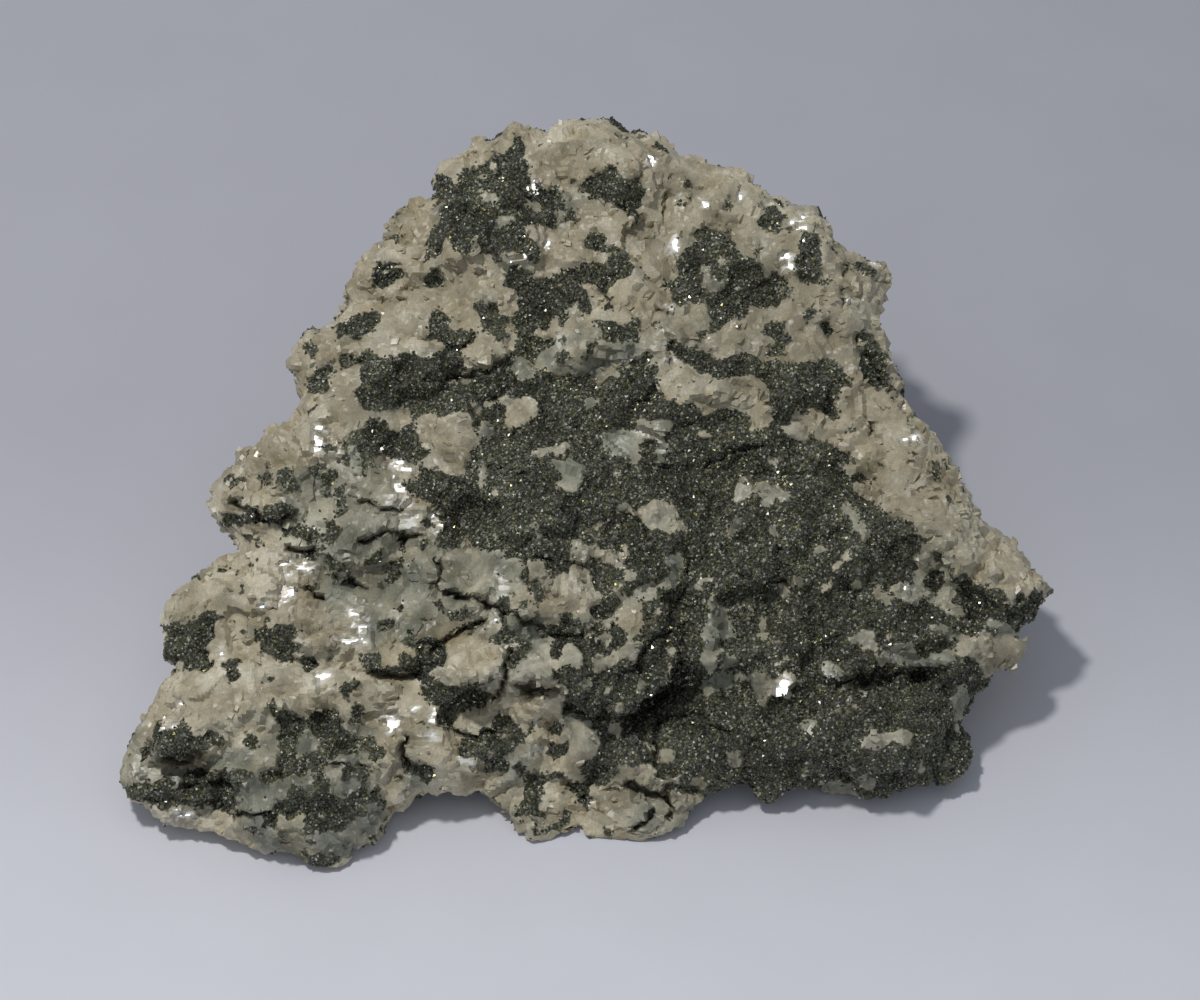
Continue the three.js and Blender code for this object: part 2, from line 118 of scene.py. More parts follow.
# Masses of ore on the broken face.
ORE = [
    # crown
    [(-20.9, 39.5), (-20.2, 40.8), (-19.2, 40.5), (-18.4, 39.3), (-17.2, 40.2), (-16.7, 41.2),
     (-15.3, 42.1), (-14.2, 42.3), (-13.8, 40.6), (-12.4, 40.8), (-13.2, 42.6), (-11.6, 43.6),
     (-10.6, 44.9), (-10, 45.2), (-9.2, 44.4), (-9.5, 43), (-9, 41.2), (-8.4, 40), (-8.6, 39), (-7.6, 38.4),
     (-6.6, 38.8), (-5.6, 39.8), (-5, 38.6), (-3, 38.4), (-2.8, 36.6), (-3.2, 34.8), (-5.4, 34.2), (-7, 34),
     (-10, 34.9), (-10, 33.4), (-8.4, 32.8), (-8, 31.4), (-7.2, 30.4), (-8, 29.6), (-9.2, 29.8),
     (-9.4, 30.6), (-10.8, 30.2), (-12.6, 30), (-14.4, 30.3), (-15.4, 31.5), (-15, 32.8), (-16, 32.6),
     (-17, 31.2), (-18, 31), (-18.4, 32), (-19.2, 32.6), (-19.4, 31.4), (-19.8, 30.6), (-19.6, 29.2),
     (-20.1, 27.4), (-19.8, 26.3), (-21.8, 26.3), (-22, 28), (-21.7, 30.2), (-21.6, 32.6), (-20.8, 33.6),
     (-20.9, 36.6)],
    [(-3.7, 40.3), (-2.6, 40), (-1.4, 40.4), (0, 41), (1.7, 41.8), (2.6, 41.6), (3, 40.9), (5, 41.1),
     (5.1, 39.6), (5.8, 38.4), (5.9, 37.1), (4.9, 36.7), (4.6, 35.4), (3.6, 36), (2.6, 36.1), (1.7, 37),
     (0.8, 37.4), (-0.6, 37.8), (-2.2, 38.3), (-3.2, 39.2)],
    [(-2, 33), (-0.8, 33.4), (0.6, 32.8), (1.8, 31.8), (1.4, 30.8), (-0.4, 31.2), (-1.8, 31.8)],
    # below the crown
    [(-11.6, 29), (-10.4, 29.4), (-9.2, 28.6), (-8, 28.6), (-8.2, 27.4), (-6.6, 27.8), (-5.6, 28.6),
     (-4, 29), (-2.6, 29.6), (-1.4, 29.8), (0, 29.4), (1.2, 29.9), (1.4, 30.8), (2.4, 31.3), (3.3, 31),
     (3.7, 30), (4.2, 29), (5.6, 28.5), (5.4, 27.6), (4, 27.8), (2.6, 27.4), (1.6, 26.4), (0.4, 25.7),
     (-0.6, 26.9), (-2, 27.2), (-3.6, 26.9), (-2.6, 26.2), (-1, 25), (-1.2, 23.6), (-2.2, 23), (-3.2, 24.2),
     (-4.4, 22), (-5.8, 22.8), (-6.6, 21.4), (-7.8, 21.8), (-8, 19), (-9.6, 17.8), (-10.6, 19.4),
     (-10.4, 21.6), (-11.4, 22.4), (-11.8, 20), (-13.2, 20.4), (-14.6, 21.2), (-14.8, 22.6), (-15.2, 23.6),
     (-16.2, 24.6), (-15, 25.6), (-14, 26.2), (-13.2, 25.2), (-12.6, 23.6), (-11.8, 23.4), (-10, 23.6),
     (-9.8, 25), (-10.6, 26), (-11.8, 26.6), (-11.9, 27.8)],
    [(-28.8, 26.2), (-28.4, 28), (-27.6, 30.2), (-26.9, 30.7), (-25.4, 29.6), (-24.4, 28.4), (-24, 27.4),
     (-25.2, 27), (-26.8, 26.9), (-27.4, 25.6), (-28.6, 25.2)],
    [(-33, 19.6), (-32.4, 21.4), (-31.2, 21.8), (-30.4, 23), (-29, 23.8), (-28.2, 24), (-27.4, 23),
     (-26.9, 21.9), (-28.2, 21.8), (-29, 21), (-30, 20), (-31, 19.8), (-32, 19.4)],
    [(-31.2, 17.8), (-29.6, 18.6), (-28, 18.2), (-26.6, 17.4), (-27.6, 15.6), (-29.8, 15.2), (-31, 16.2)],
    [(-22.3, 21.4), (-21.4, 22.6), (-20.8, 24.2), (-19.8, 23.2), (-18.6, 23), (-18, 22), (-18.2, 21),
     (-16.8, 21.2), (-15.6, 20.4), (-16.6, 19.4), (-17.8, 19), (-19.2, 19.6), (-20.2, 20.2), (-21.4, 20.4)],
    # upper right
    [(9.9, 33.4), (11, 33.6), (12.2, 33.8), (13, 34.4), (14, 34.2), (15, 33.8), (15.6, 34), (16, 33),
     (16.7, 32.4), (16.2, 31.4), (15, 31), (14.8, 30.2), (16, 29.8), (17.4, 30), (18.4, 30.6), (19.4, 29.8),
     (20.4, 29.6), (21.4, 29), (22.4, 28.4), (23, 27.4), (23.8, 26.6), (24.6, 25.8), (23.8, 25), (22.8, 25),
     (21.4, 24.2), (20.2, 24), (19.4, 24.8), (18.6, 23.8), (17.6, 22.8), (16.6, 23), (15.8, 21.8),
     (14.8, 20.8), (13.4, 20.6), (12, 20.2), (11.2, 20.6), (13.4, 21.8), (14.6, 23.4), (13.6, 24.2),
     (12.4, 24.4), (11, 23.8), (9.6, 24), (8.8, 24.8), (8.9, 26.4), (8.4, 27.2), (7.6, 27.6), (9.2, 27.2),
     (10.2, 27.2), (10.2, 28.4), (9.8, 30), (10, 31.4), (9.9, 32.4)],
    [(9.2, 20.2), (10, 19.8), (11, 20), (12, 20.4), (13.2, 20), (13.2, 18.6), (13.4, 17.4), (15, 17),
     (15.8, 17.8), (17, 18.2), (18, 18.8), (19.2, 18.6), (19.8, 17.4), (20, 16.2), (19.4, 15.6), (18, 15.8),
     (16.6, 15.2), (14.4, 15.4), (13, 15.6), (12.2, 16.2), (10.8, 16.8), (9.8, 17.4), (9.4, 18.6),
     (8.9, 18.8), (8.4, 19.8)],
    [(24, 29.4), (24.4, 31), (25.2, 33), (26.4, 33.6), (27.6, 32.6), (27.9, 30.6), (27.6, 28.6), (26.4, 27),
     (24.8, 27), (24, 28.2)],
    [(20, 34.4), (20.2, 36), (21, 37.2), (22.4, 37.2), (23.2, 36), (22.8, 34), (21.6, 33), (20.4, 33.4)],
    [(14.8, 37.4), (15.8, 37.8), (16.6, 37.2), (16.2, 36.2), (15.2, 36)],
    [(9.6, 36.2), (10.4, 36.8), (10.9, 36.6), (10.6, 35.9)],
    [(11, 38.4), (11.8, 38.6), (12, 37.6), (11.2, 37.4)],
    [(20.4, 22.4), (22, 22.8), (23.6, 21.8), (23.8, 20), (23.2, 18.2), (21.6, 17.8), (20.4, 19),
     (20.2, 20.6)],
    [(19.6, 16.8), (21.4, 17.6), (23, 17), (25, 16.4), (25.6, 17.6), (27, 17.4), (28, 17.8), (29.6, 17),
     (31, 15.8), (31.4, 14.6), (30.4, 13.6), (29.4, 12.2), (27.6, 12), (25, 11.6), (24, 11), (23.4, 9.8),
     (22.6, 9.2), (22, 8.4), (21.6, 9.6), (22, 10.4), (21.2, 11.2), (20.8, 12), (21.6, 13), (21.2, 13.8),
     (20.4, 14.6), (20, 15.4)],
    [(2.6, 22.2), (3.4, 22.6), (4.6, 22.6), (4.8, 21.6), (4.4, 20.8), (5.2, 20.2), (4.6, 19.4), (3.6, 19.6),
     (3.2, 20.6), (2.8, 21.4)],
    [(-1.6, 19.2), (-0.6, 20.4), (-0.3, 20.2), (-0.6, 18.8), (-1.4, 17.2), (-2.2, 17.4), (-1.4, 18.2)],
    [(27.9, 24.3), (28.6, 24.4), (28.6, 23.2), (28.1, 23.1)],
    [(32.6, 21.6), (33.4, 21.8), (34.4, 19.2), (35.8, 16), (37.4, 12.8), (36.2, 12.4), (34.6, 13.8),
     (33.2, 15.4), (32.4, 17.2), (33, 18.8)],
    [(38.2, 10.6), (38.8, 10.9), (39.4, 10.1), (38.4, 9.8)],
    [(41.6, 5), (42.2, 4.2), (42.4, 2.8), (42.9, 1.6), (42.2, 1.8), (41.7, 3.4)],
    # the broad ore field from the middle to the lower right
    [(-30.8, 14.4), (-29.6, 15.4), (-27.4, 15.2), (-26.4, 17.6), (-25.2, 18.6), (-23, 18.2), (-22.4, 17.2),
     (-20.4, 17.2), (-19.8, 19.2), (-17.6, 19), (-17.4, 17.4), (-16.4, 16.2), (-13.6, 16.6), (-11.2, 18.2),
     (-10.2, 19.6), (-8, 20.6), (-6.6, 20.2), (-5, 20.2), (-4, 19.6), (-3.6, 17.4), (-4.6, 16.8),
     (-6.2, 17.6), (-6.6, 16.2), (-3, 15.6), (0, 15.2), (1.4, 15.8), (2.4, 16.6), (4, 17.2), (5, 17.2),
     (5.7, 18.6), (6.2, 18.8), (7.4, 17.6), (7.8, 16.4), (7.2, 15.2), (7.4, 13.6), (8.4, 12.9), (8.4, 12.1),
     (10.2, 11.9), (12, 12.4), (12.6, 11.6), (12.4, 10.8), (14.2, 10.9), (15.4, 11.9), (16.6, 11.8),
     (17.6, 10.6), (19, 9.2), (20, 8.8), (21.6, 9.6), (22.6, 8.6), (23.6, 8), (25.4, 7), (27, 7.4),
     (28.6, 7.2), (30, 6.6), (31.2, 6), (31.6, 4.8), (30.6, 4), (30.8, 3), (31.4, 2), (32.2, 0.9),
     (33.6, 0.2), (34.4, -0.6), (35.2, -1.6), (36.6, -2.6), (38, -2.4), (39.4, -3.4), (39.8, -4),
     (39.6, -5.2), (39.8, -6.2), (41.6, -5.6), (43, -6.2), (44, -7.2), (44.4, -8.4), (45.2, -9.2),
     (45.6, -10.2), (47.6, -10.2), (50, -11.4), (51.6, -13), (53, -12.6), (54.6, -11.6), (56.4, -11.2),
     (56.4, -14), (54, -20.6), (49.4, -22.4), (47.4, -34.6), (44, -38), (35, -39), (30, -39), (27, -38),
     (22.4, -38), (21, -39), (18.6, -37), (16, -36.4), (14.6, -36.2), (13.4, -36.6), (12, -37), (10, -36.4),
     (8.4, -36), (7.4, -35.4), (6.4, -34.6), (7, -33.8), (6, -32.8), (4, -33.4), (2.2, -33.2), (1.8, -34.4),
     (0.4, -35.6), (-1, -34.6), (-2.6, -34), (-2.4, -32.4), (-0.6, -32.4), (-0.2, -31), (0, -29),
     (-0.8, -28), (-2.6, -27.2), (-3.6, -26.4), (-3.4, -25), (-4.4, -24.2), (-4.8, -23.4), (-5.2, -22.4),
     (-5.2, -20.4), (-6.2, -19), (-6.6, -17.6), (-7.6, -17), (-8.4, -16), (-9.8, -15.6), (-8.6, -14.6),
     (-7.6, -12.4), (-8, -11.5), (-9.4, -9.8), (-9.8, -8.6), (-10.2, -6.8), (-12.2, -7.2), (-13.8, -6.6),
     (-16.2, -5.8), (-17.2, -5.2), (-18.6, -5.4), (-20, -5), (-19.8, -3.2), (-20.4, -1.6), (-21.6, -0.8),
     (-22.8, 0.2), (-24.6, 2), (-23.8, 3), (-22.8, 4.6), (-22.4, 6.4), (-22.9, 8), (-23.2, 10.2),
     (-24.2, 10.8), (-25, 11.4), (-26.2, 11.2), (-28.6, 10.9), (-29.8, 11), (-30.4, 12.4)],
    # left of the middle
    [(-32.4, 5), (-32.2, 7.2), (-31, 8.8), (-29, 9.2), (-28.2, 10.2), (-26.6, 9.6), (-25.4, 8.8),
     (-24.2, 9.6), (-23.2, 10.2), (-22.8, 9), (-23, 7.4), (-22.2, 5.8), (-22.8, 4.6), (-23.8, 3.4),
     (-24.6, 4.9), (-26, 5.4), (-27.6, 5.2), (-28.8, 5.4), (-28.9, 4.4), (-30, 3.9), (-31.4, 4)],
    [(-33, 17.2), (-32.4, 18.2), (-31, 18), (-30.4, 17), (-31.4, 16.4), (-32.4, 16.2)],
    [(-36.8, 14.2), (-36.6, 15.4), (-35.8, 16.6), (-35, 16.2), (-33.8, 16.8), (-33.2, 15.8), (-34, 14.8),
     (-34.2, 13.8), (-35.2, 13.2), (-36, 13.6)],
    [(-43, 3.6), (-42.4, 4.4), (-41.8, 4.6), (-41.2, 3.8), (-40.6, 2.8), (-39.8, 3.4), (-39.2, 4),
     (-38.6, 3.2), (-38.2, 2.2), (-37.8, 1.2), (-38.6, 0.9), (-39.6, 1.4), (-40.4, 2), (-41.4, 2.2),
     (-42.4, 2.4)],
    [(-47, 2.2), (-46, 2.3), (-44.6, 2.6), (-43.4, 2.3), (-44.6, 1.8), (-45.6, 1.4), (-46.6, 1.7)],
    [(-46, -0.4), (-44.8, -0.6), (-43.2, -1.4), (-42, -1.6), (-41.8, -0.8), (-40.4, -0.8), (-39.8, 0),
     (-38.4, -0.4), (-37.6, -1.4), (-38.6, -2.4), (-39.4, -2.8), (-39, -3.8), (-39.2, -4.6), (-39.8, -5),
     (-40, -3.8), (-41, -3.2), (-42.4, -2.9), (-43.6, -2.4), (-45, -2.4), (-46.6, -3), (-47.8, -2.2),
     (-46.2, -1.8)],
    [(-36.4, 4.2), (-35.4, 4.4), (-35.6, 3), (-36.2, 2.2), (-36.8, 3)],
    [(-34.6, 4.2), (-33.6, 4.6), (-33, 3.4), (-33.8, 2.2), (-33.4, 1), (-32.2, 0.6), (-33, 0.2),
     (-34.8, 0.8), (-34.6, 2.6)],
    [(-38.4, -3.6), (-37, -3.6), (-35, -3.2), (-34, -2.6), (-32.8, -2.6), (-32.6, -4), (-32, -5),
     (-33, -5.6), (-34.4, -6), (-35.6, -5.6), (-36.6, -4.4), (-37.6, -4.2)],
    [(-39.4, -6.2), (-37, -6.2), (-35.2, -6.4), (-35.4, -7.6), (-36.4, -7.8), (-37.4, -7), (-38.8, -7)],
    [(-34, -8.6), (-33.4, -7.6), (-32.2, -7.6), (-31.4, -8.8), (-30.4, -9.8), (-29.4, -10.8), (-30.4, -11),
     (-32, -10.2), (-33.4, -9.4)],
    [(-30.6, -8.8), (-29.6, -7.8), (-28, -7.8), (-26.4, -8), (-25.4, -7.4), (-23.8, -7.4), (-22.2, -8),
     (-21.2, -8), (-22.2, -9), (-23, -9.8), (-24.2, -10.2), (-24.6, -11.8), (-24.2, -13.2), (-25.2, -13.8),
     (-26.2, -12.6), (-26.8, -10.8), (-26.4, -9.4), (-28, -8.8), (-28.2, -9.8), (-29.4, -9.6)],
    [(-29.4, -16), (-28.8, -15.2), (-27.6, -14.8), (-26, -15), (-25, -16.6), (-25.6, -18), (-27, -19.2),
     (-29, -19)],
    [(-37.2, -10.6), (-35.8, -10.8), (-34.2, -10.8), (-33, -11.6), (-34.4, -12.2), (-36, -12),
     (-36.8, -11.4)],
    [(-23.2, -14.4), (-22, -15), (-21.4, -14.4), (-20.8, -15.8), (-22.4, -15.8)],
    [(-19.2, -14.4), (-18, -14), (-17.2, -14.8), (-18.6, -15.4)],
    [(-24.6, -16.8), (-23.4, -17), (-22.8, -18.2), (-21.8, -19.2), (-19.6, -18.6), (-18.2, -17),
     (-17.2, -16.4), (-15.6, -15.6), (-14.2, -14.8), (-13.4, -15.2), (-14.6, -15.8), (-16.6, -16.8),
     (-18.4, -18.2), (-20.6, -19.6), (-21.2, -21.4), (-22.6, -22), (-24.4, -21.8), (-26.6, -22),
     (-28.4, -21.4), (-29.8, -20.4), (-30.8, -19.4), (-29.6, -18.8), (-27.8, -20), (-26, -21),
     (-24.8, -20.6), (-24.6, -18.8)],
    # lower middle
    [(-22.4, -21.6), (-20.8, -22.2), (-19, -23.4), (-17.4, -22.6), (-15.6, -21.6), (-13.4, -21.6),
     (-12.6, -22.8), (-13.6, -24.4), (-14, -26), (-15.8, -26.8), (-17.4, -26.6), (-18, -28.4),
     (-19.4, -28.4), (-19.8, -26.4), (-21.4, -25.4), (-22.4, -23.6)],
    [(-10, -7.2), (-8.4, -8), (-7, -9), (-6.8, -11.6), (-8, -12.2), (-9.4, -11.8), (-10, -9.6)],
    [(-13, -25.4), (-12.6, -26.2), (-11.4, -27), (-10, -28), (-9, -29.4), (-8.8, -30.6), (-10, -30.8),
     (-11, -31.4), (-12.2, -32.6), (-11, -33), (-9.4, -33.4), (-7.6, -34), (-6, -34.2), (-5.2, -34.6),
     (-6, -35.6), (-7.8, -35.2), (-9.8, -34.4), (-11.4, -33.4), (-12.8, -33.8), (-14.6, -34.4),
     (-16, -33.6), (-17.4, -32), (-17.8, -30.8), (-16.6, -29.8), (-14.8, -29), (-13.4, -28), (-13, -26.6)],
    [(-25, -33.2), (-24.2, -32.8), (-22.4, -33.6), (-20.4, -33.4), (-19.8, -34), (-21.8, -34.8),
     (-22.8, -36), (-24.6, -36), (-25, -34.8)],
    [(-22.8, -27.6), (-21.6, -27.4), (-21.2, -28.4), (-22.4, -28.8)],
    [(-4.6, -35.4), (-3.4, -36), (-2.2, -37.2), (-2.8, -38), (-4, -37.2)],
    [(-9.8, -37.6), (-9, -38.6), (-9.6, -40), (-10.6, -39.6), (-11, -38.4)],
    # left edge
    [(-54.6, -15.6), (-53.6, -15.2), (-51.6, -15.4), (-50.6, -14.4), (-49, -13.6), (-47.8, -14),
     (-46.6, -14.4), (-46.8, -15), (-48, -15.2), (-48, -16.8), (-48.8, -17.4), (-49.2, -18.6), (-49, -19.6),
     (-48.4, -20.6), (-50, -21.4), (-51, -20.8), (-52.2, -21.6), (-52.8, -20.6), (-54, -19.2),
     (-54.4, -17.6)],
    [(-45.4, -16.8), (-44, -16), (-42.4, -15.6), (-40.6, -16), (-38.6, -15.6), (-37.4, -16.6),
     (-37.8, -17.8), (-37, -18.6), (-35.4, -18.4), (-34.4, -17.8), (-35.6, -19.2), (-35.4, -20.6),
     (-35.6, -21.6), (-37, -20.6), (-38.6, -20.4), (-40.4, -20), (-41.8, -18.6), (-43.2, -17.6)],
    [(-47.4, -20.6), (-46, -19.4), (-45.4, -20.2), (-45, -21.6), (-45.6, -22.6), (-46.8, -21.6)],
    [(-42.4, -22.2), (-41, -22), (-41, -22.8), (-42, -22.8)],
    [(-45.1, -10.8), (-44.4, -10.6), (-44.3, -11.3), (-45, -11.6)],
    # left foot
    [(-58.6, -29.6), (-57.2, -29), (-55.8, -28), (-54.4, -28.8), (-53, -28.2), (-51.6, -27.4), (-52, -28.8),
     (-50.6, -29.4), (-49.2, -29.2), (-49, -27.8), (-48, -28), (-47.4, -29.2), (-46.6, -30), (-47.8, -30.8),
     (-49.4, -31.2), (-50.6, -32), (-52, -32.4), (-54, -32.2), (-55.4, -31.6), (-57.4, -32.2),
     (-58.6, -31.2)],
    [(-40.2, -27.6), (-39.4, -27), (-37.2, -27.6), (-35.6, -26.9), (-33.4, -26.4), (-31.4, -25.4),
     (-30, -25.6), (-29.8, -27), (-28.8, -28), (-27.4, -28.4), (-26.8, -29.4), (-27, -31.4), (-28.4, -33.4),
     (-28.4, -35.4), (-27.2, -37.4), (-26.6, -39), (-26.6, -41), (-28, -43), (-31, -43.6), (-32, -46),
     (-35, -46.8), (-38.4, -44.6), (-41, -44.6), (-43, -43), (-44.4, -40.6), (-46.4, -38.8), (-49, -38.6),
     (-51.6, -38), (-54, -38.4), (-56, -38.2), (-59.6, -37), (-59.8, -35.8), (-57, -35.6), (-55, -35.4),
     (-53.6, -34.6), (-52, -34), (-50, -33.2), (-48.6, -33.8), (-46.6, -33.6), (-45, -34.2), (-43.4, -34.2),
     (-42, -32.6), (-43.6, -31.4), (-44.6, -30.2), (-43.6, -29), (-42, -29.4), (-40.4, -29.6),
     (-39.8, -28.4), (-40, -26.8)],
]

# Windows of calcite inside those masses: clean cream, or thin and stained by the ore below it.
CREAM_WINDOWS = [
    [(-23, 9.6), (-22.4, 10.6), (-20.6, 11), (-20, 10.2), (-19, 11), (-18.2, 11.6), (-17.2, 11.2),
     (-16.2, 10.4), (-15.9, 9), (-15.4, 8.2), (-15.6, 6.6), (-15.8, 5.6), (-16.6, 4.4), (-17.6, 3),
     (-18.8, 2.9), (-20.2, 3.2), (-21.4, 3.6), (-22.2, 4.4), (-21.2, 5.2), (-22, 6), (-22.8, 7.4)],
    [(-12.6, 9.6), (-12, 10.8), (-11.4, 11.8), (-10, 12.4), (-9.4, 13.4), (-8.4, 13.2), (-7.8, 12),
     (-7.4, 10.6), (-8.6, 9.8), (-10, 9), (-11.6, 9.2)],
    [(8, 16.8), (9.8, 17.2), (11, 16.4), (12.6, 15.4), (14.2, 15), (16, 14.8), (17.4, 15.2), (19, 15.4),
     (19.8, 15.4), (20.2, 14), (21, 13), (21, 11.8), (22, 11.2), (22.2, 10.2), (21.4, 9), (20, 9.6),
     (18.6, 10), (17.4, 11), (16.4, 11.8), (15, 11.2), (14, 10.6), (12.8, 10.8), (12.4, 11.8), (11, 12.4),
     (9.6, 12.2), (8.6, 12.2), (8.4, 13.2), (7.4, 14), (7.6, 15.6)],
    [(3.8, -1.2), (4.6, -0.8), (5.4, -0.2), (6.8, 0), (8.4, 0), (9, -1.2), (9.8, -2.4), (10.8, -3.4),
     (10.8, -4.4), (9.6, -4.2), (8.4, -4.2), (7.2, -3.8), (5.8, -3.6), (4.8, -3), (4.4, -2)],
    [(-6.2, -9), (-5, -9.2), (-3.6, -8.4), (-1.6, -8.4), (-0.6, -9.4), (-0.6, -11), (-0.2, -12.6),
     (-1.2, -13.6), (-2.6, -14), (-4.6, -13.8), (-6.2, -14.2), (-7.4, -13.4), (-6.8, -12), (-6.4, -10.4)],
    [(3, -13), (4.2, -12), (5, -12), (5.4, -13.4), (5.6, -15.2), (5.2, -16.4), (4.2, -17.6), (3, -17),
     (2.4, -15.6), (1.8, -14.6), (2, -13.6)],
    [(22, -22), (23.6, -21.6), (24.4, -22.4), (24.2, -24.8), (22.8, -24.8), (21.9, -24.4)],
    [(-11.8, -24.8), (-10.4, -24.4), (-8.6, -24.8), (-6.6, -24.6), (-5, -25.2), (-4.6, -26.6), (-5.4, -28),
     (-6.2, -29.4), (-7.4, -29.2), (-8.2, -27.6), (-9.4, -27.2), (-10.6, -26.4)],
    [(31.5, 10), (34, 10.5), (36.5, 8), (36, 4.5), (33, 4.5), (31.6, 6.5)],
    [(-17.8, -26.8), (-16, -26.3), (-14.2, -26.6), (-14, -28), (-15, -29.4), (-16.6, -29.2), (-17.8, -28)],
    [(-19.2, -17.6), (-17.2, -16.9), (-15, -17), (-12.8, -17.6), (-11.6, -18.8), (-12, -21), (-13.4, -21.4),
     (-14.6, -20.8), (-16, -21.2), (-17, -22.6), (-18.8, -22.4), (-19.6, -20.6), (-19.8, -18.8)],
    [(44.4, -18.6), (45.4, -17.4), (47.2, -16.6), (49.4, -16.4), (51.5, -17), (53.4, -17.4), (53.2, -18.8),
     (51, -21), (49, -22), (48, -22.8), (47.4, -22.6), (47.8, -21), (46.8, -19.6), (45, -19.4)],
    [(33.2, -23.2), (34.2, -22.6), (34.6, -23.4), (33.8, -23.9)],
    [(-57.6, -29.4), (-56.6, -28.6), (-55.8, -29.2), (-56, -30.4), (-57.2, -30.6)],
    [(-56.2, -39), (-54, -38.7), (-51, -38.6), (-48.6, -39.4), (-46, -39.8), (-44.6, -41), (-44.4, -42.8),
     (-47, -42), (-49, -41.4), (-52, -41.2), (-56, -41)],
    [(-31.4, -41.2), (-29, -41.4), (-28.4, -42.6), (-30.6, -43)],
]
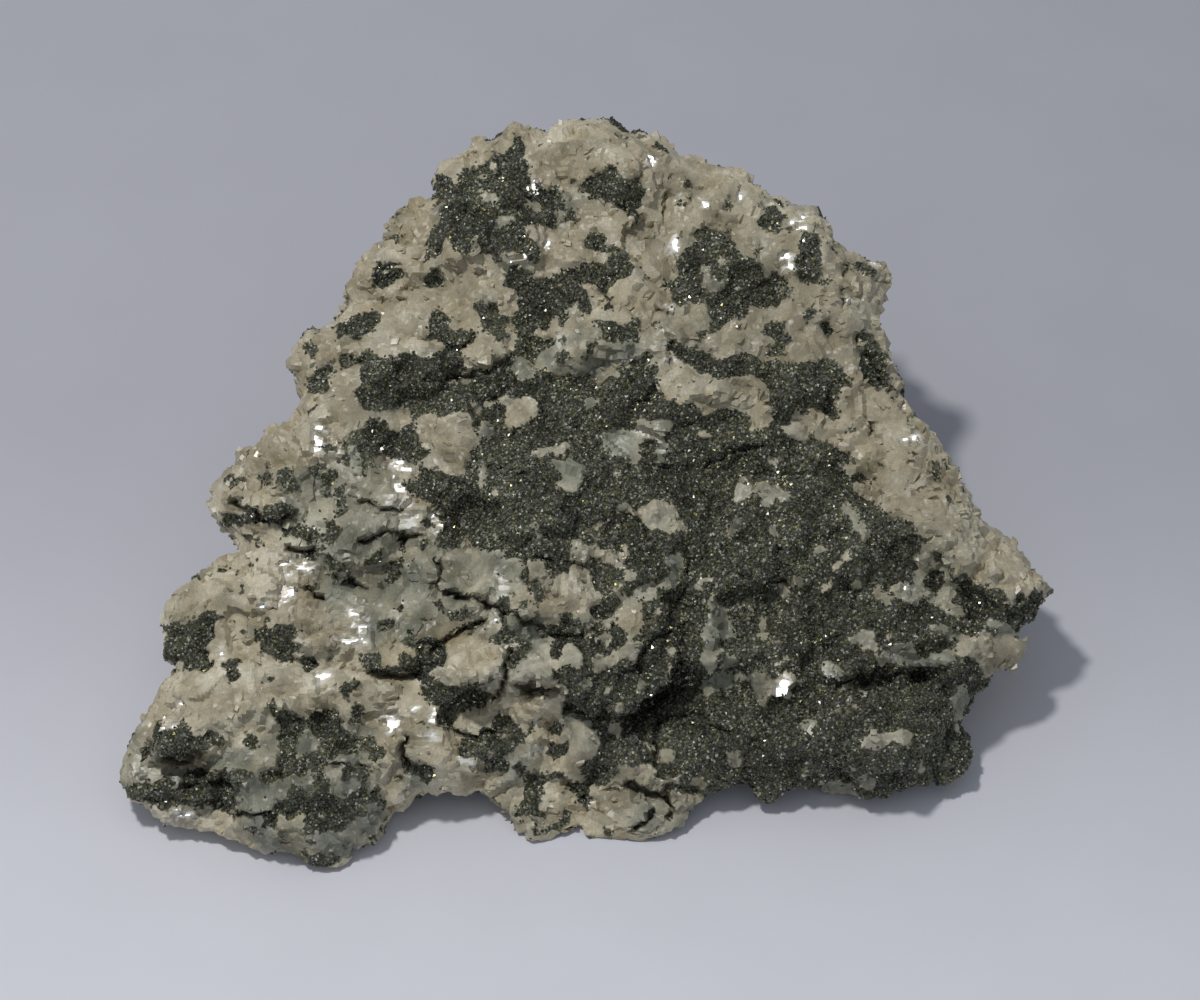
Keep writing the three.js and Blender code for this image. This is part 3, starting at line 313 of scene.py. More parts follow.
THIN_WINDOWS = [
    [(31, -17), (32.4, -16.4), (33.4, -16.2), (34.2, -16.9), (34.8, -18.2), (35.4, -19), (37, -18.2),
     (38.4, -18.6), (39.6, -19.4), (42, -19.2), (44, -18.8), (45, -19.4), (43, -20.4), (41.4, -21),
     (40, -20.8), (38.6, -21.2), (37.4, -20.9), (36, -20.7), (34.8, -20.4), (34.4, -19.2), (33.2, -18.4),
     (32, -17.8)],
    [(-16, 4), (-15.2, 5.2), (-14.4, 5), (-14, 3.4), (-14.4, 1.2), (-15.2, 0.8), (-15.8, 1.6),
     (-15.8, 2.8)],
    [(-14.8, 9.4), (-13.6, 9.8), (-12.6, 8.8), (-13, 7.8), (-14.6, 8)],
    [(-11.4, 17.2), (-10.2, 18), (-9, 17.2), (-8.2, 16), (-9, 14.8), (-9.6, 14.2), (-10.4, 15.4),
     (-11.2, 16.2)],
    [(-8, 16.8), (-7.6, 18.4), (-6.4, 19), (-5.4, 17.6), (-4.6, 16.6), (-1.4, 17.4), (-0.6, 18), (1.6, 18),
     (3.4, 19), (5, 18.8), (5.7, 17.8), (4, 16.9), (2.2, 16.6), (0.6, 16), (-1, 15.4), (-3, 15.7),
     (-5.2, 15.8), (-6.8, 16)],
    [(0.2, 7.6), (0.8, 9), (2.4, 9.2), (3.8, 8.6), (4.8, 7.8), (5.2, 6.2), (5, 4.6), (4, 4.4), (2.6, 4.8),
     (1.2, 5.6), (0.4, 6.6)],
    [(7, 6.6), (7.4, 8), (8.2, 7.8), (8.4, 6.6), (8.2, 5), (7.2, 4.8)],
    [(16.6, 1.2), (18.4, 1.7), (20, 2.2), (21.6, 2.2), (23.4, 1.4), (24, 0.2), (22.4, -0.4), (20.6, -0.2),
     (19.6, 0.4), (18.4, 0.9), (17.2, 0.7)],
    [(-6.6, 5.6), (-5.4, 5.4), (-4.2, 4.9), (-2.8, 4.6), (-1.6, 4.2), (-1.8, 3), (-3, 3), (-4.6, 3.2),
     (-6, 3.8)],
    [(1.8, -1.8), (2.4, -0.2), (3.2, 0), (3.6, -0.8), (3, -2)],
    [(8.8, -6.2), (9.8, -6), (10.6, -7.2), (10.4, -8.6), (9.6, -10.4), (9.4, -11.2), (7.6, -11), (7.4, -10),
     (8.2, -9), (8, -7.4)],
    [(-3.8, -4.2), (-2, -4.4), (-1.4, -5.4), (-2.6, -6), (-4, -5.4)],
    [(-8.8, -4.6), (-7.4, -3.6), (-6.4, -4), (-7, -5)],
    [(8.2, -18.4), (9.2, -18), (9.9, -19), (9.4, -20), (8.6, -19.6)],
    [(13.2, -14), (14.2, -13.2), (15, -13.6), (15.8, -14), (16.6, -15), (16.8, -16.6), (16, -17.4),
     (15.2, -16.4), (15, -17.8), (15, -19.4), (14.8, -20.8), (13.8, -21.6), (12.8, -21), (12.8, -19.6),
     (13, -17.6), (13, -15.8)],
    [(15.4, -19.6), (16.4, -18.8), (17.2, -19.6), (17, -21.4), (15.6, -21.2)],
    [(11.8, -10), (12.8, -10.2), (13, -11.2), (12, -11.6), (11.2, -10.8)],
    [(12.2, -22.6), (14, -22), (16, -21.8), (18.2, -21.6), (18.2, -22.8), (16.6, -23.2), (14.6, -23.6),
     (13.4, -24.6), (12.4, -24.2)],
    [(18.4, -22.2), (19, -21.6), (20.4, -22), (21.6, -22.4), (21.6, -23.8), (20, -24.6), (18.6, -23.8)],
    [(24.2, -22), (26, -22), (25, -23.4), (24.2, -23.2)],
    [(27.4, -20.4), (29.4, -20.2), (31, -21.2), (30.2, -21.8), (29.8, -23), (28.6, -22.2), (27.8, -21.2)],
    [(23.6, -10), (25, -9.6), (27, -9.4), (27.6, -8.8), (26.8, -9.8), (25.6, -10.6), (24.2, -10.6)],
    [(26.4, -5.8), (27.6, -5.2), (28.8, -5.6), (28.4, -6.6), (26.6, -6.8)],
    [(31.4, -1.4), (32.4, -1.8), (33, -3), (34.2, -4.4), (33.4, -4.8), (32.2, -3.8), (31.4, -3)],
    [(36.8, -11), (38, -10.4), (39.4, -10.4), (40.6, -10.6), (41.4, -11.4), (42.6, -11.6), (42.8, -12.8),
     (41.8, -13), (40.6, -12.2), (39.4, -12.8), (37.8, -12.8), (36.8, -12.2)],
    [(44, -13), (45.2, -13), (45.8, -14), (45.6, -15.2), (44.4, -15), (43.6, -14)],
    [(41.2, -15.4), (43.6, -15.6), (44.8, -16.4), (46, -17), (44.6, -17.8), (43, -17), (41.6, -16.4)],
    [(48, -14.4), (49.4, -14.6), (50.6, -15.4), (52.6, -16.6), (50.4, -16.8), (48.4, -15.8)],
    [(15.2, -2.6), (16.2, -2.2), (17.6, -3), (17.4, -4), (15.6, -4)],
    [(16, -31.8), (17.2, -31.2), (18, -32), (18, -33.2), (16.8, -33.6), (16, -32.8)],
    [(13.4, -32.8), (14.4, -32.6), (14.6, -33.8), (13.8, -34)],
    [(12.2, -26.6), (13.6, -27), (14.4, -27.8), (13.4, -28)],
    [(24.6, -27.4), (26.4, -27.2), (28, -26.8), (27, -28.4), (25.6, -28.6)],
    [(32.8, -34.4), (33.6, -34), (34.6, -35), (34, -36), (32.8, -35.6)],
    [(27, -35.2), (29.8, -35), (31.8, -35.8), (33, -37.4), (31.6, -37), (29.6, -36.4), (27, -36)],
    [(44, -23), (45.4, -23), (46, -25), (45.4, -27), (44.6, -28), (44.2, -26)],
    [(-49.6, -32.6), (-47.4, -31.6), (-44.6, -31.6), (-43.2, -32.4), (-44, -33.4), (-46.4, -33.4),
     (-48.6, -33.2)],
    [(-45, -35.4), (-43, -35), (-42, -35.8), (-42.4, -36.8), (-44.8, -37)],
    [(-45.2, -38), (-43.4, -37.4), (-41.8, -37.8), (-42.4, -38.8), (-44.6, -39)],
    [(-43, -41.4), (-41.4, -41), (-40, -41.8), (-40.2, -43.2), (-42.4, -44)],
    [(-36, -41.4), (-34, -41.2), (-32.4, -42), (-31.6, -43.6), (-33, -44.6), (-34.6, -44), (-35.2, -42.6)],
    [(-32, -35.8), (-30.6, -35.4), (-30, -36.4), (-31.2, -37.2)],
    [(-32, -31), (-29.6, -31.4), (-29, -32.6), (-30, -33.4), (-31.6, -32.6)],
    [(-38, -29.2), (-36, -29), (-35.2, -30), (-36, -31.4), (-37.6, -31.4)],
    [(-53.4, -33.6), (-52.2, -33.4), (-51.8, -34.6), (-52.4, -36.2), (-53.4, -35.4)],
    [(-29.8, -38.4), (-28, -38), (-27, -39.4), (-27.4, -41), (-29, -40.6)],
]

# Ground where the calcite between the masses is thin and grey-green too.
THIN_GROUND = [
    [(-41, 2), (-36, 4.5), (-30.5, 4.5), (-26.5, 4.6), (-26.2, 0), (-24, -1), (-19.6, -1.4), (-13, -6.8),
     (-9.8, -7.4), (-8, -14), (-5, -22.6), (-12, -25), (-15.4, -24), (-20, -21), (-26.6, -20), (-29, -15.5),
     (-31.8, -12.6), (-35, -12.6), (-37, -9), (-34.5, -6), (-38, -5), (-38.8, -2.6)],
    [(-13.6, -33), (-9.6, -24), (-5, -24), (0, -27), (2.5, -34), (11, -35.5), (13.5, -36), (11, -42),
     (-10, -42), (-13.4, -37)],
    [(-29, 17), (-23.5, 15.5), (-23.5, 10), (-29, 11)],
    [(-2.8, 22), (3, 21.4), (5, 18.4), (-1, 16), (-3.4, 19)],
]

# Ore with more calcite showing through it than elsewhere.
MOTTLED = [
    [(-41, -24), (-28, -25), (-26, -33), (-28, -46), (-44, -46), (-44, -34)],
    [(-10, -16), (-4, -24), (3, -24), (8, -12), (3, -5), (-8, -6)],
    [(-38, -8), (-20, -8), (-20, -20), (-38, -20)],
]

# Places where the calcite is greyer than elsewhere (or clearer, if below nought): middle, reach, share.
# The clearer spots on the drooped front edge and below the overhangs also lighten ground that lies in shade:
# painted light.
GREYER_AND_PAINTED_LIGHT = [
    ((-12.5, 20.6), 2.4, 0.40), ((8.0, 18.0), 2.2, 0.45), ((18.0, 10.5), 2.6, 0.35),
    ((-31.0, 5.6), 2.2, 0.40), ((-29.0, -16.0), 2.2, 0.30), ((-33.0, -14.0), 2.2, 0.30),
    ((8.0, -32.0), 3.2, 0.20), ((-36.0, -35.0), 9.0, 0.20), ((-57.0, -33.5), 2.6, 0.50),
    ((25.0, 22.0), 10.0, 0.10), ((-45.0, -3.0), 4.4, -0.35), ((32.0, 7.5), 3.4, -0.20),
    ((-15.6, -19.0), 3.4, -0.50), ((-8.0, -26.6), 2.8, -0.50), ((-3.0, -37.0), 7.0, -0.80),
]

# Places where it is a deeper tan, in the same way.
# The broad spots on the upper right and on the right-hand slope also darken calcite that the lamp leaves in
# shade: painted shade.
TANNER_AND_PAINTED_SHADE = [
    ((-20.0, 33.0), 3.0, 0.35), ((-4.4, 37.0), 3.0, 0.50), ((0.6, 32.0), 2.6, 0.35),
    ((4.4, 42.0), 2.4, 0.50), ((22.5, 19.4), 2.8, 0.30), ((23.8, 28.8), 2.8, 0.30),
    ((35.0, 14.0), 4.0, 0.45), ((42.0, -5.0), 4.0, 0.50), ((24.0, 22.0), 11.0, 0.70),
    ((-12.0, 30.0), 14.0, 0.25), ((10.0, 30.0), 12.0, 0.36), ((36.0, 4.0), 12.0, 0.42),
    ((-43.0, 6.0), 5.0, 0.50), ((-24.0, 26.0), 7.0, 0.40), ((-31.0, 12.0), 6.0, 0.30),
    ((50.0, -20.0), 6.0, 0.45), ((-33.0, -12.0), 7.0, 0.30), ((-29.0, 4.0), 5.0, 0.35),
]

# Cracks and undercuts: how wide, how deep, and the line that each follows.
CRACKS = [
    (1.2, 1.9, [(-4, -26), (-1, -27), (2.2, -26.6)]),
    (2.4, 3.0, [(4.4, -26.4), (6.6, -25), (9.6, -23.4), (10.6, -21.4)]),
    (1.0, 1.5, [(10.5, -20.6), (10.2, -18), (10.5, -15.4)]),
    (0.8, 1.2, [(10.4, -12.4), (10.6, -10), (11.2, -7.6)]),
    (0.9, 1.6, [(4.4, -21.6), (5.2, -19), (6.6, -17.6), (9, -16.4)]),
    (1.0, 1.8, [(-19.6, -11.5), (-16.4, -12.4), (-13.1, -13.1), (-9.8, -15.6), (-8.4, -15.2)]),
    (0.7, 1.4, [(-20.2, -7.8), (-20.4, -10.4), (-20.4, -11.4)]),
    (0.8, 1.6, [(-20.9, -18.6), (-17, -15.9), (-14.4, -14.9)]),
    (0.8, 1.8, [(-10.9, -18.8), (-11.9, -21), (-12, -23.4), (-13.2, -25)]),
    (1.2, 1.8, [(-10.4, -22.8), (-8.6, -23.9), (-5.4, -23.4)]),
    (0.9, 1.6, [(-28.6, -21.4), (-26, -22), (-22.4, -21.9)]),
    (0.8, 1.5, [(-46, -0.3), (-44.4, -1), (-42.5, -2.4), (-41, -2.5), (-38.8, -2.3)]),
    (0.8, 1.4, [(-38.8, -6.3), (-35.5, -6.5)]),
    (0.7, 1.3, [(-36.6, -10.8), (-35.9, -11.9), (-34.3, -12.3)]),
    (0.7, 1.3, [(-32.8, -9.4), (-29.7, -10.9)]),
    (0.7, 1.3, [(-30.2, -5), (-28.8, -4.9), (-26.8, -4), (-25, -4.6), (-22.7, -4.5)]),
    (0.6, 1.2, [(-29.9, -0.2), (-28.3, -0.9), (-26.7, -1.2), (-25, -1.5)]),
    (1.0, 1.8, [(-55, -31.9), (-52.4, -32.6), (-50, -31.6)]),
    (1.0, 1.8, [(-51.8, -36), (-49, -35.2), (-46.3, -35.4)]),
    (0.8, 1.6, [(-45, -39.4), (-41.5, -39)]),
    (0.7, 1.2, [(-35, -33), (-32, -33.2), (-30, -34)]),
    (0.8, 1.2, [(35.7, -20.9), (37.4, -21.6), (39.6, -21.9)]),
    (1.0, 1.8, [(30, -23.6), (31.8, -22.2)]),
    (0.7, 1.2, [(12.2, -26.4), (14, -28.3), (16, -29.4)]),
    (0.7, 1.2, [(7.2, -27.4), (7, -30), (7, -33)]),
    (0.8, 1.4, [(16.8, 5.8), (19, 6.4), (20.2, 7)]),
    (0.7, 1.2, [(13.4, 4.4), (15, 5), (15.8, 6.4)]),
    (0.7, 1.2, [(22.4, -6), (22, -8.4), (20.8, -9.8), (23.2, -10.2)]),
    (0.7, 1.0, [(-21.6, 14.9), (-18, 15.2), (-16, 15.6)]),
    (0.6, 1.0, [(-15.6, 16.2), (-13, 17.2), (-11.4, 18.2)]),
    (0.6, 1.0, [(-19, 19.3), (-17, 19.1), (-15.8, 20.2)]),
    (0.7, 1.3, [(8.7, 20.4), (8.8, 18.4), (8.8, 16.9)]),
    (0.5, 0.9, [(6.6, 24.2), (8.4, 23.6)]),
    (0.6, 1.0, [(4, 12.4), (5.4, 12.6), (6.4, 13.8)]),
    (0.6, 1.0, [(5.6, 4.1), (8.6, 4.5)]),
    (0.6, 1.0, [(8.4, 1), (9, 0.4)]),
    (0.6, 1.0, [(-14, 4.1), (-11.6, 4), (-9.4, 3)]),
    (0.6, 1.0, [(-8, -7.4), (-5, -7.6), (-2.2, -8)]),
    (0.6, 1.0, [(-7, -17.2), (-4, -16.8), (-2, -16.9)]),
    (1.4, 2.2, [(4, -36), (6, -37), (8.2, -37), (8.8, -38.6)]),
    (0.9, 1.6, [(4.2, -41), (5.2, -40.4), (6.6, -39)]),
    (0.9, 1.8, [(-24.2, -33), (-24.6, -31.4), (-24.4, -30)]),
    (1.0, 1.6, [(-17.8, -29), (-15.6, -30), (-13.4, -28.8)]),
    (0.7, 1.2, [(-4.4, -35.2), (-2.4, -36.8), (-1.8, -37)]),
    (0.6, 1.1, [(30.2, 29), (31, 29.6), (30.6, 28)]),
    (0.6, 1.1, [(32.4, 20.4), (32.4, 18.8), (33.2, 17.6), (35, 15.6), (36.2, 13.6)]),
    (0.5, 0.9, [(30, 26.2), (30.4, 24.6)]),
    (0.5, 0.9, [(33.8, 10), (33.8, 8.2)]),
    (0.6, 1.0, [(45.6, -10.6), (46, -12.6), (46.2, -15)]),
]

# Cleavage faces that lie square between the lamp and the eye, so they flash: middle, half-size, turn.
FLASHES = [
    ((-8.0, 39.0), (0.9, 0.9), 0), ((-9.9, 30.0), (1.3, 0.7), 10), ((9.1, 31.6), (0.55, 1.5), -10),
    ((23.2, 29.6), (0.8, 1.5), -10), ((24.8, 34.7), (0.8, 0.9), 20), ((6.5, 42.6), (0.8, 0.8), 0),
    ((-6.4, 31.5), (0.5, 0.5), 0), ((-20.9, 18.4), (0.9, 0.5), 50), ((-19.7, 16.0), (0.6, 0.5), 0),
    ((-16.2, 16.4), (1.2, 0.5), 10), ((8.5, 24.2), (0.4, 0.7), 10), ((8.6, 18.6), (0.3, 1.2), 0),
    ((-34.4, 8.6), (1.0, 1.0), 30), ((-35.6, 6.6), (0.8, 1.2), -25), ((-27.0, 6.5), (1.1, 0.5), -30),
    ((-24.9, 3.6), (1.0, 1.6), 0), ((-25.0, 0.2), (1.3, 1.4), 30), ((-24.0, -2.8), (1.4, 1.0), 10),
    ((-37.9, -8.6), (1.9, 1.1), -10), ((-39.3, -11.2), (0.8, 1.7), 20), ((-41.6, -12.6), (0.6, 1.4), -40),
    ((-37.6, -6.7), (0.5, 0.4), 0), ((-30.4, -14.6), (1.0, 1.2), 40), ((-29.8, -16.4), (0.9, 1.6), -20),
    ((-31.6, -17.4), (1.2, 0.7), 20), ((-33.6, -21.0), (0.5, 1.6), -15), ((-34.8, -23.0), (0.8, 1.3), -35),
    ((-12.6, -10.6), (0.7, 2.2), 8), ((-12.6, -14.6), (0.5, 1.0), 0), ((-20.4, -3.4), (0.6, 1.6), 0),
    ((-54.0, -28.3), (0.9, 0.7), 0), ((-52.6, -25.6), (0.7, 0.5), 0), ((-54.2, -39.8), (0.9, 0.8), 0),
    ((-51.8, -39.3), (1.5, 0.6), -10), ((-52.2, -35.6), (0.3, 0.8), 0), ((-27.4, -27.0), (0.6, 0.9), 30),
    ((-25.8, -28.0), (0.8, 1.2), 30), ((-23.0, -26.3), (1.2, 0.6), -35), ((-20.7, -27.0), (0.8, 1.2), 30),
    ((-21.2, -29.6), (0.7, 0.5), 0), ((-16.8, -32.8), (1.4, 0.8), -25), ((-22.0, -22.7), (0.5, 0.4), 40),
    ((-7.8, -31.2), (0.9, 0.6), -10), ((22.8, -23.2), (0.9, 1.5), 0), ((27.0, -25.4), (0.8, 0.4), -25),
    ((29.0, -22.2), (0.9, 0.3), -40), ((38.3, -10.8), (0.6, 0.3), -20), ((37.2, -12.5), (0.7, 0.3), 0),
    ((52.4, -13.2), (1.0, 0.5), 20), ((55.2, -12.2), (0.6, 0.5), -40), ((39.0, 7.9), (1.1, 0.5), 0),
    ((37.2, -20.0), (0.3, 0.6), 0), ((-43.6, -14.4), (0.6, 0.4), 0), ((-47.6, -18.6), (0.5, 0.8), 0),
    ((17.4, 38.4), (0.6, 0.5), -40), ((9.8, 37.6), (0.5, 0.9), 0), ((12.8, 36.8), (0.7, 0.9), 0),
    ((34.6, 29.3), (1.0, 0.2), -10), ((31.0, 24.8), (0.5, 0.5), 0), ((-8.0, -27.6), (0.6, 0.5), 0),
]


def seen_at(points):
    """Where points show in the plane that faces the camera, as columns across and up."""
    from_eye = points - eye
    scale = VIEW_DISTANCE / (from_eye @ forward)
    return np.column_stack((from_eye @ right * scale, from_eye @ upward * scale))


def lattice(cells, seed):
    """A repeatable number from -1 to 1 for each whole-number place in space."""
    # The large numbers have no meaning of their own: they only stir the bits.
    mixed = cells.astype(np.int64) * np.array([374761393, 668265263, 974634777]) + seed * 362437
    mixed = mixed.sum(axis=1) & 0xFFFFFFFF
    mixed = ((mixed ^ (mixed >> 13)) * 1274126177) & 0xFFFFFFFF
    return ((mixed ^ (mixed >> 16)) & 0xFFFFFF) / 0x7FFFFF - 1.0


def soft_noise(points, cell, seed):
    """Smooth noise with features one cell wide, stretched to reach about -1 to 1."""
    scaled = points / cell
    low = np.floor(scaled)
    share = scaled - low
    share = share * share * (3 - 2 * share)
    total = np.zeros(len(points))
    for corner in np.ndindex(2, 2, 2):
        weight = np.prod(np.where(np.array(corner) == 1, share, 1 - share), axis=1)
        total += weight * lattice(low + corner, seed)
    return total * 1.5


def layered_noise(points, layers):
    """A sum of smooth noises, each given by its share, cell and seed."""
    return sum(share * soft_noise(points, cell, seed) for share, cell, seed in layers)


def soft_shift(points, cell, seed):
    """Smooth noise in the face's two directions, as columns."""
    return np.column_stack((soft_noise(points, cell, seed), soft_noise(points, cell, seed + 1)))


def nearest_domain(points, cell, seed):
    """The crystal that each point belongs to, as a whole-number place, and how far off its middle is."""
    home = np.floor(points / cell)
    best = np.full(len(points), np.inf)
    found = np.zeros_like(home)
    for step in np.ndindex(3, 3, 3):
        place = home + np.array(step) - 1
        stray = np.column_stack([lattice(place, seed + axis) for axis in range(3)])
        middle = (place + 0.5 + DOMAIN_STRAY * stray) * cell
        distance = np.linalg.norm(points - middle, axis=1)
        nearer = distance < best
        best[nearer] = distance[nearer]
        found[nearer] = place[nearer]
    return found, best


def inside(outlines, places):
    """True for each place that lies in one of the outlines."""
    answer = np.zeros(len(places), dtype=bool)
    for outline in outlines:
        corners = np.array(outline, dtype=float)
        near = np.all((places >= corners.min(axis=0)) & (places <= corners.max(axis=0)), axis=1)
        x, y = places[near, 0], places[near, 1]
        odd = np.zeros(len(x), dtype=bool)
        for (x0, y0), (x1, y1) in zip(corners, np.roll(corners, -1, axis=0)):
            if y0 == y1:
                continue
            crosses = (y0 > y) != (y1 > y)
            odd ^= crosses & (x < x0 + (y - y0) / (y1 - y0) * (x1 - x0))
        answer[near] |= odd
    return answer


def line_distance(line, places):
    """How far each place lies from a line of joined stretches, and whether it is above the line."""
    best = np.full(len(places), np.inf)
    above = np.zeros(len(places), dtype=bool)
    for start, end in zip(np.array(line[:-1], dtype=float), np.array(line[1:], dtype=float)):
        stretch = end - start
        t = np.clip((places - start) @ stretch / (stretch @ stretch), 0, 1)
        off = places - start - t[:, None] * stretch
        distance = np.linalg.norm(off, axis=1)
        nearer = distance < best
        best[nearer] = distance[nearer]
        above[nearer] = off[nearer, 1] > 0
    return best, above


def cleavage_planes(domains):
    """Three cleavage normals for each domain, as an array of domain, plane and axis, and its turns."""
    lean = math.acos(math.sqrt((1 + 2 * math.cos(CLEAVAGE_ANGLE)) / 3))
    planes = []
    for plane in range(3):
        turn = plane * 2 * math.pi / 3
        planes.append((math.sin(lean) * math.cos(turn), math.sin(lean) * math.sin(turn), math.cos(lean)))
    angles = np.column_stack([lattice(domains, 40 + axis) for axis in range(3)])
    angles *= (math.pi, DOMAIN_TILT, DOMAIN_TILT)
    turned = np.empty((len(domains), 3, 3))
    for i, (spin, pitch, roll) in enumerate(angles):
        matrix = Euler((roll, pitch, spin)).to_matrix()
        turned[i] = np.array(planes) @ np.array(matrix).T
    return turned, angles


def crystal_terraces(points, normals, domain_size, step_least, step_most, seed):
    """The moves that bring points onto flat steps of their own crystals, and the crystals' turns."""
    domain, _ = nearest_domain(points, domain_size, seed)
    ids, which = np.unique(domain, axis=0, return_inverse=True)
    which = which.ravel()
    planes, angles = cleavage_planes(ids)
    own = planes[which]
    facing = np.einsum("nij,nj->ni", own, normals)
    chosen = np.argmax(np.abs(facing), axis=1)
    plane = own[np.arange(len(points)), chosen]
    height = np.einsum("ni,ni->n", points, plane)
    step = step_least + (step_most - step_least) * (0.5 + 0.5 * lattice(ids, 51))[which]
    snapped = (np.floor(height / step) + 0.5) * step
    crispness = CRISPNESS + CRISPNESS_SPREAD * lattice(ids, 52)[which]
    return plane * (crispness * (snapped - height))[:, None], angles[which]


# The stone's mesh starts from the part's own solid, remade with an even fine grain.
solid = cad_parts["lollingite_specimen"]
stone_mesh = solid.data.copy()
stone = add_object("stone", stone_mesh)
merged = bmesh.new()
merged.from_mesh(stone_mesh)
bmesh.ops.remove_doubles(merged, verts=merged.verts, dist=1e-6)
bmesh.ops.recalc_face_normals(merged, faces=merged.faces)
merged.to_mesh(stone_mesh)
merged.free()
remesh = stone.modifiers.new("even_grain", "REMESH")
remesh.mode = "VOXEL"
remesh.voxel_size = STONE_CELL * MM
remesh.adaptivity = 0.0
evaluated = stone.evaluated_get(bpy.context.evaluated_depsgraph_get())
fine_mesh = bpy.data.meshes.new_from_object(evaluated)
stone.modifiers.clear()
stone.data = fine_mesh
fine_mesh.name = "stone"

count = len(fine_mesh.vertices)
flat = np.empty(count * 3, dtype=np.float32)
fine_mesh.vertices.foreach_get("co", flat)
points = flat.reshape(-1, 3).astype(float) / MM
fine_mesh.vertices.foreach_get("normal", flat)
normals = flat.reshape(-1, 3).astype(float)
seen = seen_at(points)

# A point is on the face if nothing of the stone stands between it and the camera.
HIDDEN_BEHIND = 1.6
tree = BVHTree.FromPolygons([Vector(p) for p in points], [tuple(f.vertices) for f in fine_mesh.polygons])
on_face = np.zeros(count, dtype=bool)
for i, point in enumerate(points):
    towards = Vector(point - eye)
    hit = tree.ray_cast(Vector(eye), towards.normalized())
    on_face[i] = hit[3] is not None and hit[3] > towards.length - HIDDEN_BEHIND

# The outlines' edges are ragged: how far they stray, in features of what size, and the seed.
RAGGEDNESS = ((0.45, 1.3, 61), (0.25, 0.6, 63))
ragged = seen.copy()
for stray, cell, seed in RAGGEDNESS:
    ragged += stray * soft_shift(points, cell, seed)
drawn_ore = inside(ORE, ragged)
cream = inside(CREAM_WINDOWS, ragged)
thin = inside(THIN_WINDOWS, ragged)
drawn_ore &= ~(cream | thin)
thin_ground = (inside(THIN_GROUND, ragged) & ~cream) | thin

# Specks: calcite showing through the ore, and loose ore grains strewn in the calcite.
SPECKS = ((1.0, 1.2, 91), (0.7, 3.0, 92))
SHOWS_THROUGH, SHOWS_THROUGH_MOTTLED = 0.95, -0.05
STREWN_IN_CREAM, STREWN_IN_THIN = -1.3, -0.75
speck = layered_noise(points, SPECKS)
through_ore = drawn_ore & (speck > np.where(inside(MOTTLED, ragged), SHOWS_THROUGH_MOTTLED, SHOWS_THROUGH))
strewn = ~(drawn_ore | cream | thin) & (speck < np.where(thin_ground, STREWN_IN_THIN, STREWN_IN_CREAM))
drawn_ore = (drawn_ore & ~through_ore) | strewn
thin_ground |= through_ore

# Out of the camera's sight the ore masses and the thin calcite follow chance, at the face's own scale.
HIDDEN_MASSES, MASSES_FROM = ((1.0, 9.0, 71), (0.6, 3.6, 72), (0.25, 1.2, 73)), 0.12
HIDDEN_THIN, THIN_FROM = ((1.0, 6.0, 74), (0.4, 2.0, 75)), 0.45
ore = np.where(on_face, drawn_ore, layered_noise(points, HIDDEN_MASSES) > MASSES_FROM)
grey = np.where(on_face, thin_ground, layered_noise(points, HIDDEN_THIN) > THIN_FROM)

edges = np.empty(len(fine_mesh.edges) * 2, dtype=np.int32)
fine_mesh.edges.foreach_get("vertices", edges)
edges = edges.reshape(-1, 2)
neighbours = np.bincount(edges.ravel(), minlength=count)


def softened(values, rounds):
    """Values shared with their neighbours on the mesh, once for each round."""
    values = values.astype(float)
    for _ in range(rounds):
        shared = np.bincount(edges[:, 0], values[edges[:, 1]], count)
        shared += np.bincount(edges[:, 1], values[edges[:, 0]], count)
        values = 0.5 * values + 0.5 * shared / neighbours
    return values


def soft_spots(spots):
    """The sum of soft round spots on the face, each given by its middle, reach and share."""
    total = np.zeros(count)
    for middle, reach, share in spots:
        total += share * np.exp(-np.sum((seen - np.array(middle)) ** 2, axis=1) / reach ** 2)
    return np.where(on_face, total, 0)


ore_soft = softened(ore, 3)
ore_broad = softened(ore, 8)

# How grey the calcite is: a little everywhere, more where it is thin, and cloudy.
CLOUDS = ((0.30, 3.2, 95), (0.16, 1.1, 96))
GREY_EVERYWHERE, GREY_GROUND = 0.12, 0.56
GREY_CREAM_WINDOW, GREY_THIN_WINDOW = 0.1, 0.36
window = np.where(on_face, GREY_CREAM_WINDOW * cream + GREY_THIN_WINDOW * thin, 0)
grey_ground = softened(grey, 5)
grey_and_painted_light = GREY_EVERYWHERE + GREY_GROUND * grey_ground + softened(window, 3) + soft_spots(GREYER_AND_PAINTED_LIGHT)
grey_and_painted_light += layered_noise(points, CLOUDS) * (0.55 + 0.45 * grey_ground)
grey_and_painted_light = np.clip(grey_and_painted_light, 0, 1)
tan_and_painted_shade = np.clip(soft_spots(TANNER_AND_PAINTED_SHADE), 0, 1)

# A flashing face stands square between the lamp and the eye, in steps of its own.
FLASH_STEP = 1.0
FLASH_FULLNESS = 1.4
FLASH_GAPS_BELOW = -0.6
flash = np.zeros(count)
flash_move = np.zeros((count, 3))
flecks = soft_noise(points, 0.75, 97)
for middle, (half_width, half_height), turn in FLASHES:
    turned = math.radians(turn)
    offset = ragged - np.array(middle)
    u = (offset[:, 0] * math.cos(turned) + offset[:, 1] * math.sin(turned)) / half_width
    v = (-offset[:, 0] * math.sin(turned) + offset[:, 1] * math.cos(turned)) / half_height
    lit = on_face & (u * u + v * v < FLASH_FULLNESS) & (flecks > FLASH_GAPS_BELOW)
    if not lit.any():
        continue
    spot = points[lit].mean(axis=0)
    to_lamp = (lamp_place - spot) / np.linalg.norm(lamp_place - spot)
    to_eye = (eye - spot) / np.linalg.norm(eye - spot)
    square = (to_lamp + to_eye) / np.linalg.norm(to_lamp + to_eye)
    height = points[lit] @ square
    snapped = (np.round((height - height.mean()) / FLASH_STEP)) * FLASH_STEP + height.mean()
    flash[lit] = 1.0
    flash_move[lit] = square * (snapped - height)[:, None]

